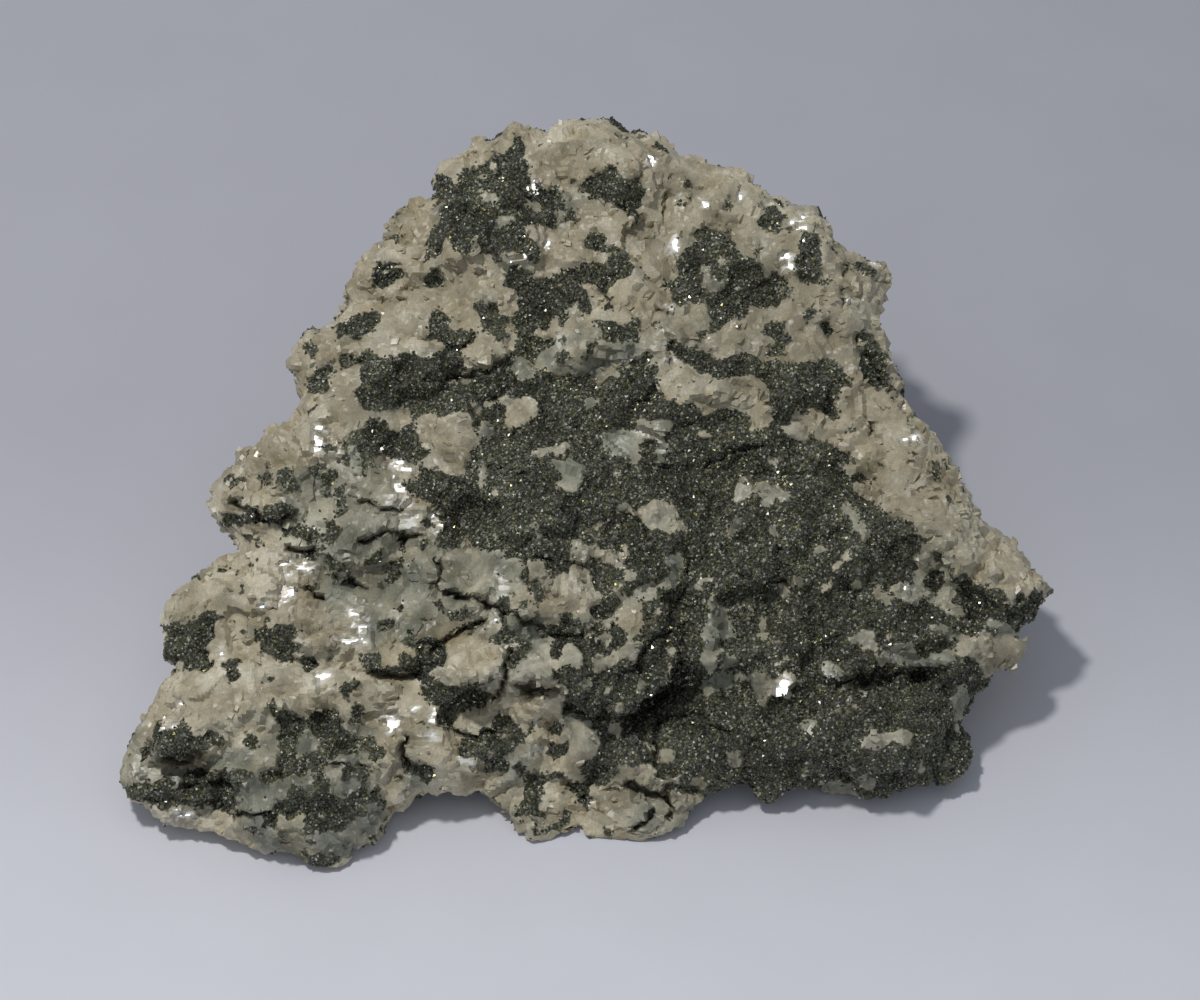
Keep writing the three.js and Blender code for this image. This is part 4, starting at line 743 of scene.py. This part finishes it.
# The moves: crystal steps in the calcite, a rough crust of lumps (size, height) in the ore, and the
# flashing steps in place of both.
ORE_RELIEF, ORE_RELIEF_SIZE = 0.2, 0.9
ORE_LUMPS = ((2.2, 1.3), (5.0, 2.4))
CALCITE_PROUD = 0.3
terraces, cleavage_turn = crystal_terraces(points, normals, DOMAIN_SIZE, STEP_LEAST, STEP_MOST, 11)
move = terraces * (1 - ore_soft)[:, None]
crust = ORE_RELIEF * soft_noise(points, ORE_RELIEF_SIZE, 81)
for lump_size, lump_height in ORE_LUMPS:
    _, off_middle = nearest_domain(points, lump_size, 83)
    crust += lump_height * (0.5 - np.minimum(off_middle / lump_size, 1.0))
move += normals * (crust * ore_soft)[:, None]
move += normals * (CALCITE_PROUD * (0.5 - ore_broad))[:, None]
move = np.where((flash > 0)[:, None], flash_move, move)

# The cracks go in along the line of sight, and the plate above each one stands a little forward.
PLATE_LIFT = 0.35
PLATE_REACH = 2.5
wandering = seen + 0.3 * soft_shift(points, 1.6, 65)
crack = np.zeros(count)
for width, depth, line in CRACKS:
    off_line, above_line = line_distance(line, wandering)
    share = np.where(on_face, np.clip(1 - off_line / (0.5 * width), 0, 1), 0)
    plate = np.where(on_face & above_line, PLATE_LIFT * depth * np.exp(-off_line / PLATE_REACH), 0)
    move += forward * (depth * np.sqrt(share) - plate * (share == 0))[:, None]
    crack = np.maximum(crack, share)

# The front edge droops to the table along each point's line of sight, by a share of its own height:
# middle, half-width, top, share.
DROOPS = (
    (-1.0, 13.0, -29.0, 0.80),
    (29.0, 13.0, -28.0, 0.55),
    (-33.0, 10.0, -34.0, 0.35),
    (47.0, 8.0, -18.0, 0.35),
)
DROOP_REACH = 10.0
DROOP_MOST = 0.85
LIFT_LEAST = 0.15
rest_height = points[:, 2].copy()
droop = np.zeros(count)
for middle, half_width, top, share in DROOPS:
    lowered = np.clip((top - seen[:, 1]) / DROOP_REACH, 0, 1)
    lowered = lowered * lowered * (3 - 2 * lowered)
    droop += share * lowered * np.exp(-((seen[:, 0] - middle) / half_width) ** 2)
sight = (points - eye) / np.linalg.norm(points - eye, axis=1)[:, None]
move += sight * (np.minimum(droop, DROOP_MOST) * rest_height / np.maximum(-sight[:, 2], 0.1))[:, None]

# The back and the sides, out of the camera's sight, also break in steps of a larger kind.
blocks, _ = crystal_terraces(points, normals, BACK_DOMAIN_SIZE, BACK_STEP_LEAST, BACK_STEP_MOST, 17)
move += blocks * softened(~on_face, 12)[:, None]
points += move * np.clip(points[:, 2] / FLAT_MARGIN, 0, 1)[:, None]
points[:, 2] = np.maximum(points[:, 2], np.minimum(rest_height, LIFT_LEAST))
fine_mesh.vertices.foreach_set("co", (points * MM).astype(np.float32).ravel())

# The materials and the scattered pieces read these from the mesh.
# The greyness also carries painted light from the clearer spots, and the tan carries painted shade from the
# broad tan spots.
point_values = {
    "ore": ore_soft,
    "thin": grey_and_painted_light,
    "flash": flash,
    "crack": crack,
    "face": on_face,
    "tan_and_painted_shade": tan_and_painted_shade,
}
for name, values in point_values.items():
    held = fine_mesh.attributes.new(name, "FLOAT", "POINT")
    held.data.foreach_set("value", values.astype(np.float32))
held = fine_mesh.attributes.new("cleavage", "FLOAT_VECTOR", "POINT")
held.data.foreach_set("vector", cleavage_turn[:, ::-1].astype(np.float32).ravel())

# The underside is flat, so it needs no grain: its inner faces are joined into a few large ones.
UNDERSIDE_BELOW = 1e-7
thinned = bmesh.new()
thinned.from_mesh(fine_mesh)
underside = [face for face in thinned.faces if all(vert.co.z < UNDERSIDE_BELOW for vert in face.verts)]
bmesh.ops.dissolve_faces(thinned, faces=underside, use_verts=True)
bmesh.ops.triangulate(thinned, faces=[face for face in thinned.faces if len(face.verts) > 4])
thinned.to_mesh(fine_mesh)
thinned.free()
fine_mesh.shade_smooth()
fine_mesh.set_sharp_from_angle(angle=SHARP_FROM)
fine_mesh.update()


def set_inputs(tree, node, values):
    """Sets a node's input sockets, or links them to other sockets."""
    for socket, value in values.items():
        if isinstance(value, bpy.types.NodeSocket):
            tree.links.new(value, node.inputs[socket])
        else:
            node.inputs[socket].default_value = value


def add_node(tree, kind, values=None, **settings):
    """A node with its settings and its inputs."""
    node = tree.nodes.new(kind)
    for key, value in settings.items():
        setattr(node, key, value)
    set_inputs(tree, node, values or {})
    return node


def maths(tree, operation, first, second=0.0):
    """The result socket of one Math node."""
    return add_node(tree, "ShaderNodeMath", {0: first, 1: second}, operation=operation).outputs[0]


def scaled(tree, value, factor, plus):
    """A value times a factor, plus a number."""
    return maths(tree, "ADD", maths(tree, "MULTIPLY", value, factor), plus)


def rescaled(tree, value, low, high, to_low=0.0, to_high=1.0, **settings):
    """A value brought from the range low to high into the range to_low to to_high, and kept there."""
    values = {0: value, 1: low, 2: high, 3: to_low, 4: to_high}
    return add_node(tree, "ShaderNodeMapRange", values, clamp=True, **settings).outputs[0]


def colour_mix(tree, share, first, second, blend="MIX"):
    """The result socket of a mix of two colours, each a socket or a plain colour."""
    first, second = [(*side, 1.0) if isinstance(side, tuple) else side for side in (first, second)]
    values = {0: share, 6: first, 7: second}
    return add_node(tree, "ShaderNodeMix", values, data_type="RGBA", blend_type=blend).outputs[2]


def ramp(tree, value, stops):
    """The colour socket of a ramp through (place, colour) stops."""
    node = add_node(tree, "ShaderNodeValToRGB", {0: value})
    elements = node.color_ramp.elements
    while len(elements) < len(stops):
        elements.new(0.5)
    for element, (place, colour) in zip(elements, stops):
        element.position = place
        element.color = (*colour, 1.0)
    return node.outputs[0]


def cloudy(tree, place, scale, detail):
    """The value socket of a soft noise, with its scale per metre."""
    values = {"Vector": place, "Scale": scale, "Detail": detail}
    return add_node(tree, "ShaderNodeTexNoise", values).outputs[0]


def cells(tree, place, scale):
    """The sockets of a pattern of cells: how far off a cell's middle is, and a chance colour for each."""
    outputs = add_node(tree, "ShaderNodeTexVoronoi", {"Vector": place, "Scale": scale}).outputs
    return outputs["Distance"], outputs["Color"]


def new_look(name, shares):
    """A shader group that makes a colour, a roughness and a height from a place and some shares."""
    group = bpy.data.node_groups.new(name, "ShaderNodeTree")
    group.interface.new_socket(name="Position", in_out="INPUT", socket_type="NodeSocketVector")
    for share, value in shares.items():
        socket = group.interface.new_socket(name=share, in_out="INPUT", socket_type="NodeSocketFloat")
        socket.default_value = value
    group.interface.new_socket(name="Colour", in_out="OUTPUT", socket_type="NodeSocketColor")
    group.interface.new_socket(name="Roughness", in_out="OUTPUT", socket_type="NodeSocketFloat")
    group.interface.new_socket(name="Height", in_out="OUTPUT", socket_type="NodeSocketFloat")
    return group, group.nodes.new("NodeGroupInput").outputs, group.nodes.new("NodeGroupOutput")


def new_finish(name):
    """A material with its node tree, its shader, and the socket of places on the piece."""
    finish = bpy.data.materials.new(name)
    finish.use_nodes = True
    tree = finish.node_tree
    place = add_node(tree, "ShaderNodeTexCoord").outputs["Object"]
    return finish, tree, tree.nodes["Principled BSDF"], place


def held_share(tree, name):
    """The socket of a value that the mesh holds at its points."""
    return add_node(tree, "ShaderNodeAttribute", attribute_name=name).outputs["Fac"]


def bumped(tree, height, strength, distance):
    """The socket of a normal that leans with a height, whose distance is in metres."""
    values = {"Strength": strength, "Distance": distance, "Height": height}
    return add_node(tree, "ShaderNodeBump", values).outputs[0]


# How broken calcite looks close to: cloudy colour, sugary crystals, pale flecks painted as tiny glints,
# flashing faces painted paler as a painted highlight, and a fine relief.
CREAM = (0.55, 0.482, 0.347)
TAN = (0.37, 0.315, 0.205)
MILKY = (0.67, 0.62, 0.49)
DEEP_TAN = (0.31, 0.262, 0.172)
GREY_GREEN = (0.35, 0.35, 0.275)
DEEP_GREY = (0.18, 0.185, 0.145)
FLECK_PAINTED_GLINT = (0.80, 0.77, 0.68)
FLASH_PAINTED_HIGHLIGHT = (0.72, 0.70, 0.64)
UNSTAINED, STAINED = (1.0, 1.0, 1.0), (0.93, 0.85, 0.72)
PAINTED_GLINT_SHARE = 0.4
STAIN_SHARE = 0.8
FLASH_ROUGHNESS = 0.27

calcite_look, take, give = new_look("calcite_look", {"Thin": 0.0, "Tan And Painted Shade": 0.0, "Flash": 0.0})
position = take["Position"]
cloud = cloudy(calcite_look, position, 230.0, 5.0)
patch = cloudy(calcite_look, position, 70.0, 3.0)
grit = cloudy(calcite_look, position, 4200.0, 2.0)
crystal_height, crystal_chance = cells(calcite_look, position, 420.0)
crumb_height, _ = cells(calcite_look, position, 1500.0)
_, sugar_chance = cells(calcite_look, position, 1700.0)
_, glint_chance = cells(calcite_look, position, 2500.0)
cream_colour = ramp(calcite_look, cloud, [(0.34, TAN), (0.5, CREAM), (0.68, MILKY)])
cream_colour = colour_mix(calcite_look, take["Tan And Painted Shade"], cream_colour, DEEP_TAN)
grey_colour = ramp(calcite_look, cloud, [(0.40, DEEP_GREY), (0.68, GREY_GREEN)])
base = colour_mix(calcite_look, take["Thin"], cream_colour, grey_colour)
for chance, contrast, least in ((crystal_chance, 0.3, 0.82), (sugar_chance, 0.22, 0.88), (grit, 0.7, 0.65)):
    base = colour_mix(calcite_look, 1.0, base, scaled(calcite_look, chance, contrast, least), "MULTIPLY")
painted_glint = rescaled(calcite_look, glint_chance, 0.86, 0.90)
# The pale flecks are painted glints: tiny painted highlights in the calcite's colour.
base = colour_mix(calcite_look, maths(calcite_look, "MULTIPLY", painted_glint, PAINTED_GLINT_SHARE), base, FLECK_PAINTED_GLINT)
stain = ramp(calcite_look, patch, [(0.60, UNSTAINED), (0.74, STAINED)])
base = colour_mix(calcite_look, STAIN_SHARE, base, stain, "MULTIPLY")
# Flashing faces are painted paler here: a painted highlight on top of their real gloss.
base = colour_mix(calcite_look, take["Flash"], base, FLASH_PAINTED_HIGHLIGHT)
rough = scaled(calcite_look, crystal_chance, 0.34, 0.26)
glossy = add_node(calcite_look, "ShaderNodeMix", {0: take["Flash"], 2: rough, 3: FLASH_ROUGHNESS})
relief = maths(calcite_look, "MULTIPLY", crystal_height, 0.6)
relief = maths(calcite_look, "ADD", relief, maths(calcite_look, "MULTIPLY", crumb_height, 0.25))
calm = maths(calcite_look, "SUBTRACT", 1.0, maths(calcite_look, "MULTIPLY", take["Flash"], 0.85))
relief = maths(calcite_look, "MULTIPLY", relief, calm)
set_inputs(calcite_look, give, {"Colour": base, "Roughness": glossy.outputs[0], "Height": relief})

# How the ore looks: metallic grains from tin-white through olive-grey, with a bronze or blue tarnish.
ORE_DARK = (0.058, 0.060, 0.052)
ORE_OLIVE = (0.15, 0.152, 0.105)
ORE_GREY = (0.21, 0.21, 0.20)
ORE_BRONZE = (0.33, 0.30, 0.13)
ORE_BLUE = (0.16, 0.16, 0.20)
ORE_BRIGHT = (0.66, 0.65, 0.57)
ORE_SHADED, ORE_LIFTED = (0.7, 0.7, 0.68), (1.15, 1.15, 1.1)

ore_look, take, give = new_look("ore_look", {"Tone": 0.5})
position = take["Position"]
broad = cloudy(ore_look, position, 160.0, 3.0)
pit_depth, pit_chance = cells(ore_look, position, 2100.0)
grain_colour = ramp(ore_look, take["Tone"], [
    (0.0, ORE_DARK), (0.45, ORE_OLIVE), (0.78, ORE_GREY), (0.88, ORE_BRONZE), (0.92, ORE_BLUE),
    (0.955, ORE_BRIGHT),
])
shade = ramp(ore_look, broad, [(0.35, ORE_SHADED), (0.65, ORE_LIFTED)])
rough = maths(ore_look, "MULTIPLY", pit_chance, 0.25)
shine = rescaled(ore_look, take["Tone"], 0.8, 0.97, 0.32, 0.12)
set_inputs(ore_look, give, {
    "Colour": colour_mix(ore_look, 1.0, grain_colour, shade, "MULTIPLY"),
    "Roughness": maths(ore_look, "ADD", rough, shine),
    "Height": pit_depth,
})

# The stone's own finish: calcite, the dark ground under the ore's grains, and painted shade in the cracks.
CRACK_PAINTED_SHADE = (0.03, 0.03, 0.024)
ORE_METALLIC = 0.75
ORE_ROUGHNESS = 0.5

stone_finish, nodes, shader, place = new_finish("calcite_with_ore")
streaked = add_node(nodes, "ShaderNodeMapping", {
    "Vector": place, "Rotation": (0.4, 0.3, 0.5), "Scale": (1.0, 2.2, 1.4),
})
streak = rescaled(nodes, cloudy(nodes, streaked.outputs[0], 620.0, 4.0), 0.43, 0.53)
flash_share = maths(nodes, "MULTIPLY", held_share(nodes, "flash"), streak)
edge_noise = cloudy(nodes, place, 1300.0, 2.0)
ragged_edge = maths(nodes, "MULTIPLY", maths(nodes, "SUBTRACT", edge_noise, 0.5), 0.9)
mask = rescaled(nodes, maths(nodes, "ADD", held_share(nodes, "ore"), ragged_edge), 0.4, 0.6)
calcite = add_node(nodes, "ShaderNodeGroup", {
    "Position": place,
    "Thin": held_share(nodes, "thin"),
    "Tan And Painted Shade": held_share(nodes, "tan_and_painted_shade"),
    "Flash": flash_share,
}, node_tree=calcite_look)
ground_height, ground_chance = cells(nodes, place, 1900.0)
ground_tone = maths(nodes, "MULTIPLY", ground_chance, 0.7)
ore_ground = add_node(nodes, "ShaderNodeGroup", {"Position": place, "Tone": ground_tone}, node_tree=ore_look)
mixed = colour_mix(nodes, mask, calcite.outputs["Colour"], ore_ground.outputs["Colour"])
# The cracks are painted near black: painted shade, not a colour of the stone.
painted_crack_shade = rescaled(nodes, held_share(nodes, "crack"), 0.25, 0.55, 0.0, 0.62)
rough_mix = add_node(nodes, "ShaderNodeMix", {0: mask, 2: calcite.outputs["Roughness"], 3: ORE_ROUGHNESS})
ore_height = maths(nodes, "MULTIPLY", ground_height, 1.4)
height_mix = add_node(nodes, "ShaderNodeMix", {0: mask, 2: calcite.outputs["Height"], 3: ore_height})
set_inputs(nodes, shader, {
    "Base Color": colour_mix(nodes, painted_crack_shade, mixed, CRACK_PAINTED_SHADE),
    "Metallic": maths(nodes, "MULTIPLY", mask, ORE_METALLIC),
    "Roughness": rough_mix.outputs[0],
    "Coat Weight": flash_share,
    "Coat Roughness": 0.25,
    "Normal": bumped(nodes, height_mix.outputs[0], 0.8, 0.00025),
})
fine_mesh.materials.clear()
fine_mesh.materials.append(stone_finish)
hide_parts("lollingite_specimen")
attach(stone, "root")

# The cleavage chips: small rhombs of calcite left standing on the break, each in line with the
# crystal that it belongs to, give or take a few degrees.
CHIP_DENSITY = 0.10
CHIP_LEAST = (0.3, 0.3, 0.25)
CHIP_MOST = (1.0, 0.9, 0.4)
CHIP_SHEAR = 0.27
CHIP_WOBBLE = 0.12
CHIP_ORE_BELOW = 0.3
CHIP_FLASH_BELOW = 0.2
CHIP_LOWEST = 2.5
CHIP_SEED = 7


def geometry_tree(name, inputs):
    """A geometry tree with its input sockets, the taken sockets, the end node and the identifiers."""
    tree = bpy.data.node_groups.new(name, "GeometryNodeTree")
    tree.interface.new_socket(name="Geometry", in_out="INPUT", socket_type="NodeSocketGeometry")
    tree.interface.new_socket(name="Geometry", in_out="OUTPUT", socket_type="NodeSocketGeometry")
    identifiers = {}
    for socket, kind in inputs.items():
        made = tree.interface.new_socket(name=socket, in_out="INPUT", socket_type="NodeSocket" + kind)
        identifiers[socket] = made.identifier
    return tree, tree.nodes.new("NodeGroupInput").outputs, tree.nodes.new("NodeGroupOutput"), identifiers


def held_number(tree, name, kind="FLOAT"):
    """The socket of what the mesh holds under a name."""
    return add_node(tree, "GeometryNodeInputNamedAttribute", {"Name": name}, data_type=kind).outputs[0]


def place_axes(tree):
    """The sockets of the place's three coordinates."""
    place = add_node(tree, "GeometryNodeInputPosition").outputs[0]
    return add_node(tree, "ShaderNodeSeparateXYZ", {0: place}).outputs


def compared(tree, value, operation, limit):
    """The socket of whether a number is above or below its limit, as asked."""
    return add_node(tree, "FunctionNodeCompare", {0: value, 1: limit}, operation=operation).outputs[0]


def all_true(tree, first, *others):
    """The socket of whether all are true."""
    for other in others:
        first = add_node(tree, "FunctionNodeBooleanMath", {0: first, 1: other}, operation="AND").outputs[0]
    return first


def random_number(tree, least, most, seed):
    """The socket of a random number for each place."""
    values = {2: least, 3: most, "Seed": seed}
    return add_node(tree, "FunctionNodeRandomValue", values, data_type="FLOAT").outputs[1]


def random_vector(tree, least, most, seed):
    """The socket of three random numbers for each place."""
    values = {0: least, 1: most, "Seed": seed}
    return add_node(tree, "FunctionNodeRandomValue", values, data_type="FLOAT_VECTOR").outputs[0]


def strewn_over(tree, take, where, piece, turn):
    """The socket of small pieces strewn over the chosen ground, each with its own turn and size."""
    spread = add_node(tree, "GeometryNodeDistributePointsOnFaces", {
        "Mesh": take["Geometry"], "Selection": where, "Density": take["Density"], "Seed": take["Seed"],
    })
    size = random_vector(tree, take["Least Size"], take["Most Size"], take["Seed"])
    return add_node(tree, "GeometryNodeInstanceOnPoints", {
        "Points": spread.outputs["Points"], "Instance": piece, "Rotation": turn, "Scale": size,
    }).outputs[0]


def end_tree(tree, take, give, pieces):
    """Makes the pieces real, gives them their finish and puts them out."""
    real = add_node(tree, "GeometryNodeRealizeInstances", {0: pieces}).outputs[0]
    finished = add_node(tree, "GeometryNodeSetMaterial", {"Geometry": real, "Material": take["Finish"]})
    set_inputs(tree, give, {0: finished.outputs[0]})


def grown_on(source, name, tree, identifiers, values):
    """A plain mesh object made by running a geometry tree on the source's mesh."""
    grown = add_object(name, source.data.copy())
    modifier = grown.modifiers.new(name, "NODES")
    modifier.node_group = tree
    for socket, value in values.items():
        modifier[identifiers[socket]] = value
    evaluated = grown.evaluated_get(bpy.context.evaluated_depsgraph_get())
    mesh = bpy.data.meshes.new_from_object(evaluated)
    grown.modifiers.clear()
    grown.data = mesh
    mesh.name = name
    mesh.shade_flat()
    return grown


chips, take, give, chip_sockets = geometry_tree("cleavage_chips", {
    "Density": "Float", "Least Size": "Vector", "Most Size": "Vector", "Shear": "Float", "Seed": "Int",
    "Finish": "Material",
})
where = all_true(
    chips,
    compared(chips, held_number(chips, "ore"), "LESS_THAN", CHIP_ORE_BELOW),
    compared(chips, place_axes(chips)[2], "GREATER_THAN", CHIP_LOWEST * MM),
    compared(chips, held_number(chips, "flash"), "LESS_THAN", CHIP_FLASH_BELOW),
)
cube = add_node(chips, "GeometryNodeMeshCube", {"Size": (1.0, 1.0, 1.0)}).outputs[0]
corner = place_axes(chips)
lean = maths(chips, "MULTIPLY", corner[2], take["Shear"])
slide = maths(chips, "MULTIPLY", corner[1], take["Shear"])
offset = add_node(chips, "ShaderNodeCombineXYZ", {0: maths(chips, "ADD", lean, slide), 1: lean}).outputs[0]
rhomb = add_node(chips, "GeometryNodeSetPosition", {"Geometry": cube, "Offset": offset}).outputs[0]
turn = held_number(chips, "cleavage", "FLOAT_VECTOR")
wobble = random_vector(chips, (-CHIP_WOBBLE,) * 3, (CHIP_WOBBLE,) * 3, 3)
turned = add_node(chips, "ShaderNodeVectorMath", {0: turn, 1: wobble}, operation="ADD").outputs[0]
end_tree(chips, take, give, strewn_over(chips, take, where, rhomb, turned))

chip_finish, nodes, shader, place = new_finish("calcite_chip")
look = add_node(nodes, "ShaderNodeGroup", {
    "Position": place, "Thin": held_share(nodes, "thin"), "Tan And Painted Shade": held_share(nodes, "tan_and_painted_shade"),
}, node_tree=calcite_look)
set_inputs(nodes, shader, {
    "Base Color": look.outputs["Colour"],
    "Roughness": maths(nodes, "MULTIPLY", look.outputs["Roughness"], 0.8),
    "Normal": bumped(nodes, look.outputs["Height"], 0.35, 0.00012),
})
chip_piece = grown_on(stone, "cleavage_chips", chips, chip_sockets, {
    "Density": CHIP_DENSITY / MM ** 2,
    "Least Size": tuple(v * MM for v in CHIP_LEAST),
    "Most Size": tuple(v * MM for v in CHIP_MOST),
    "Shear": CHIP_SHEAR,
    "Seed": CHIP_SEED,
    "Finish": chip_finish,
})
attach(chip_piece, "root")

# The ore's grains: lollingite as a crust of stubby bipyramids about half a millimetre long, turned
# every way, so a few faces always catch the lamp. They are made as three pieces: the left and the
# right of the broken face, and all that is out of the camera's sight.
FACE_DENSITY = 8.5
FACE_SPLIT = 8.0
BACK_DENSITY = 4.2
GRAIN_LEAST = (0.32, 0.28, 0.24)
GRAIN_MOST = (0.76, 0.62, 0.54)
GRAIN_BORDER_LEAST, GRAIN_BORDER_MOST = 0.33, 0.85
GRAIN_LOWEST = 0.8
FULL_TURN = 6.283
EVERYWHERE = 100.0

grains, take, give, grain_sockets = geometry_tree("ore_grains", {
    "Density": "Float", "Least Size": "Vector", "Most Size": "Vector", "Least Face": "Float",
    "Most Face": "Float", "Least Across": "Float", "Most Across": "Float", "Seed": "Int",
    "Finish": "Material",
})
border = random_number(grains, GRAIN_BORDER_LEAST, GRAIN_BORDER_MOST, 4)
face_here = held_number(grains, "face")
here = place_axes(grains)
where = all_true(
    grains,
    compared(grains, held_number(grains, "ore"), "GREATER_THAN", border),
    compared(grains, here[2], "GREATER_THAN", GRAIN_LOWEST * MM),
    compared(grains, face_here, "GREATER_EQUAL", take["Least Face"]),
    compared(grains, face_here, "LESS_THAN", take["Most Face"]),
    compared(grains, here[0], "GREATER_EQUAL", take["Least Across"]),
    compared(grains, here[0], "LESS_THAN", take["Most Across"]),
)
bipyramid = add_node(grains, "GeometryNodeMeshUVSphere", {
    "Segments": 4, "Rings": 2, "Radius": 0.5,
}).outputs[0]
any_turn = random_vector(grains, (0.0,) * 3, (FULL_TURN,) * 3, 5)
toned = add_node(grains, "GeometryNodeStoreNamedAttribute", {
    "Geometry": strewn_over(grains, take, where, bipyramid, any_turn),
    "Name": "tone",
    "Value": random_number(grains, 0.0, 1.0, 9),
}, data_type="FLOAT", domain="INSTANCE").outputs[0]
end_tree(grains, take, give, toned)

grain_finish, nodes, shader, place = new_finish("ore_grain")
look = add_node(nodes, "ShaderNodeGroup", {
    "Position": place, "Tone": held_share(nodes, "tone"),
}, node_tree=ore_look)
set_inputs(nodes, shader, {
    "Metallic": 0.6,
    "Base Color": look.outputs["Colour"],
    "Roughness": look.outputs["Roughness"],
    "Normal": bumped(nodes, look.outputs["Height"], 0.15, 0.00006),
})
for name, density, least_face, most_face, least_across, most_across, seed in (
    ("left_ore_grains", FACE_DENSITY, 0.5, 2.0, -EVERYWHERE, FACE_SPLIT, 21),
    ("right_ore_grains", FACE_DENSITY, 0.5, 2.0, FACE_SPLIT, EVERYWHERE, 23),
    ("back_ore_grains", BACK_DENSITY, -1.0, 0.5, -EVERYWHERE, EVERYWHERE, 22),
):
    grain_piece = grown_on(stone, name, grains, grain_sockets, {
        "Density": density / MM ** 2,
        "Least Size": tuple(v * MM for v in GRAIN_LEAST),
        "Most Size": tuple(v * MM for v in GRAIN_MOST),
        "Least Face": least_face,
        "Most Face": most_face,
        "Least Across": least_across * MM,
        "Most Across": most_across * MM,
        "Seed": seed,
        "Finish": grain_finish,
    })
    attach(grain_piece, "root")

# The table: a pale grey-lavender paper sheet, painted paler towards the front as a painted pool of light
# that fades towards the back, in a dim and slightly blue room. Its far and near tones meet softly across the
# specimen.
FAR_PAPER_PAINTED_DIM = (0.50, 0.50, 0.56)
NEAR_PAPER_PAINTED_LIT = (0.79, 0.79, 0.86)
PAPER_FAR_AT, PAPER_NEAR_AT = 0.030, -0.075
DARK_FIBRE, PALE_FIBRE = (0.97, 0.97, 0.97), (1.0, 1.0, 1.0)
TABLE_REACH = 3.0
ROOM_LIGHT = 0.34
ROOM_COLOUR = (0.86, 0.93, 1.0, 1.0)

table_mesh = bpy.data.meshes.new("table")
table_corners = [(x * TABLE_REACH, y * TABLE_REACH, 0) for x, y in ((-1, -1), (1, -1), (1, 1), (-1, 1))]
table_mesh.from_pydata(table_corners, [], [(0, 1, 2, 3)])
table = add_object("table", table_mesh)
paper_finish, nodes, shader, place = new_finish("pale_paper")
along = add_node(nodes, "ShaderNodeSeparateXYZ", {0: place}).outputs["Y"]
painted_light_nearness = rescaled(nodes, along, PAPER_FAR_AT, PAPER_NEAR_AT, interpolation_type="SMOOTHSTEP")
paper_with_painted_light = colour_mix(nodes, painted_light_nearness, FAR_PAPER_PAINTED_DIM, NEAR_PAPER_PAINTED_LIT)
fibre = ramp(nodes, cloudy(nodes, place, 60.0, 3.0), [(0.3, DARK_FIBRE), (0.7, PALE_FIBRE)])
set_inputs(nodes, shader, {
    "Base Color": colour_mix(nodes, 1.0, paper_with_painted_light, fibre, "MULTIPLY"),
    "Roughness": 0.9,
    "Specular IOR Level": 0.15,
})
table_mesh.materials.append(paper_finish)

world = bpy.data.worlds.new("room")
world.use_nodes = True
background = world.node_tree.nodes["Background"]
background.inputs["Color"].default_value = ROOM_COLOUR
background.inputs["Strength"].default_value = ROOM_LIGHT
bpy.context.scene.world = world
bpy.context.scene.view_settings.view_transform = "Standard"
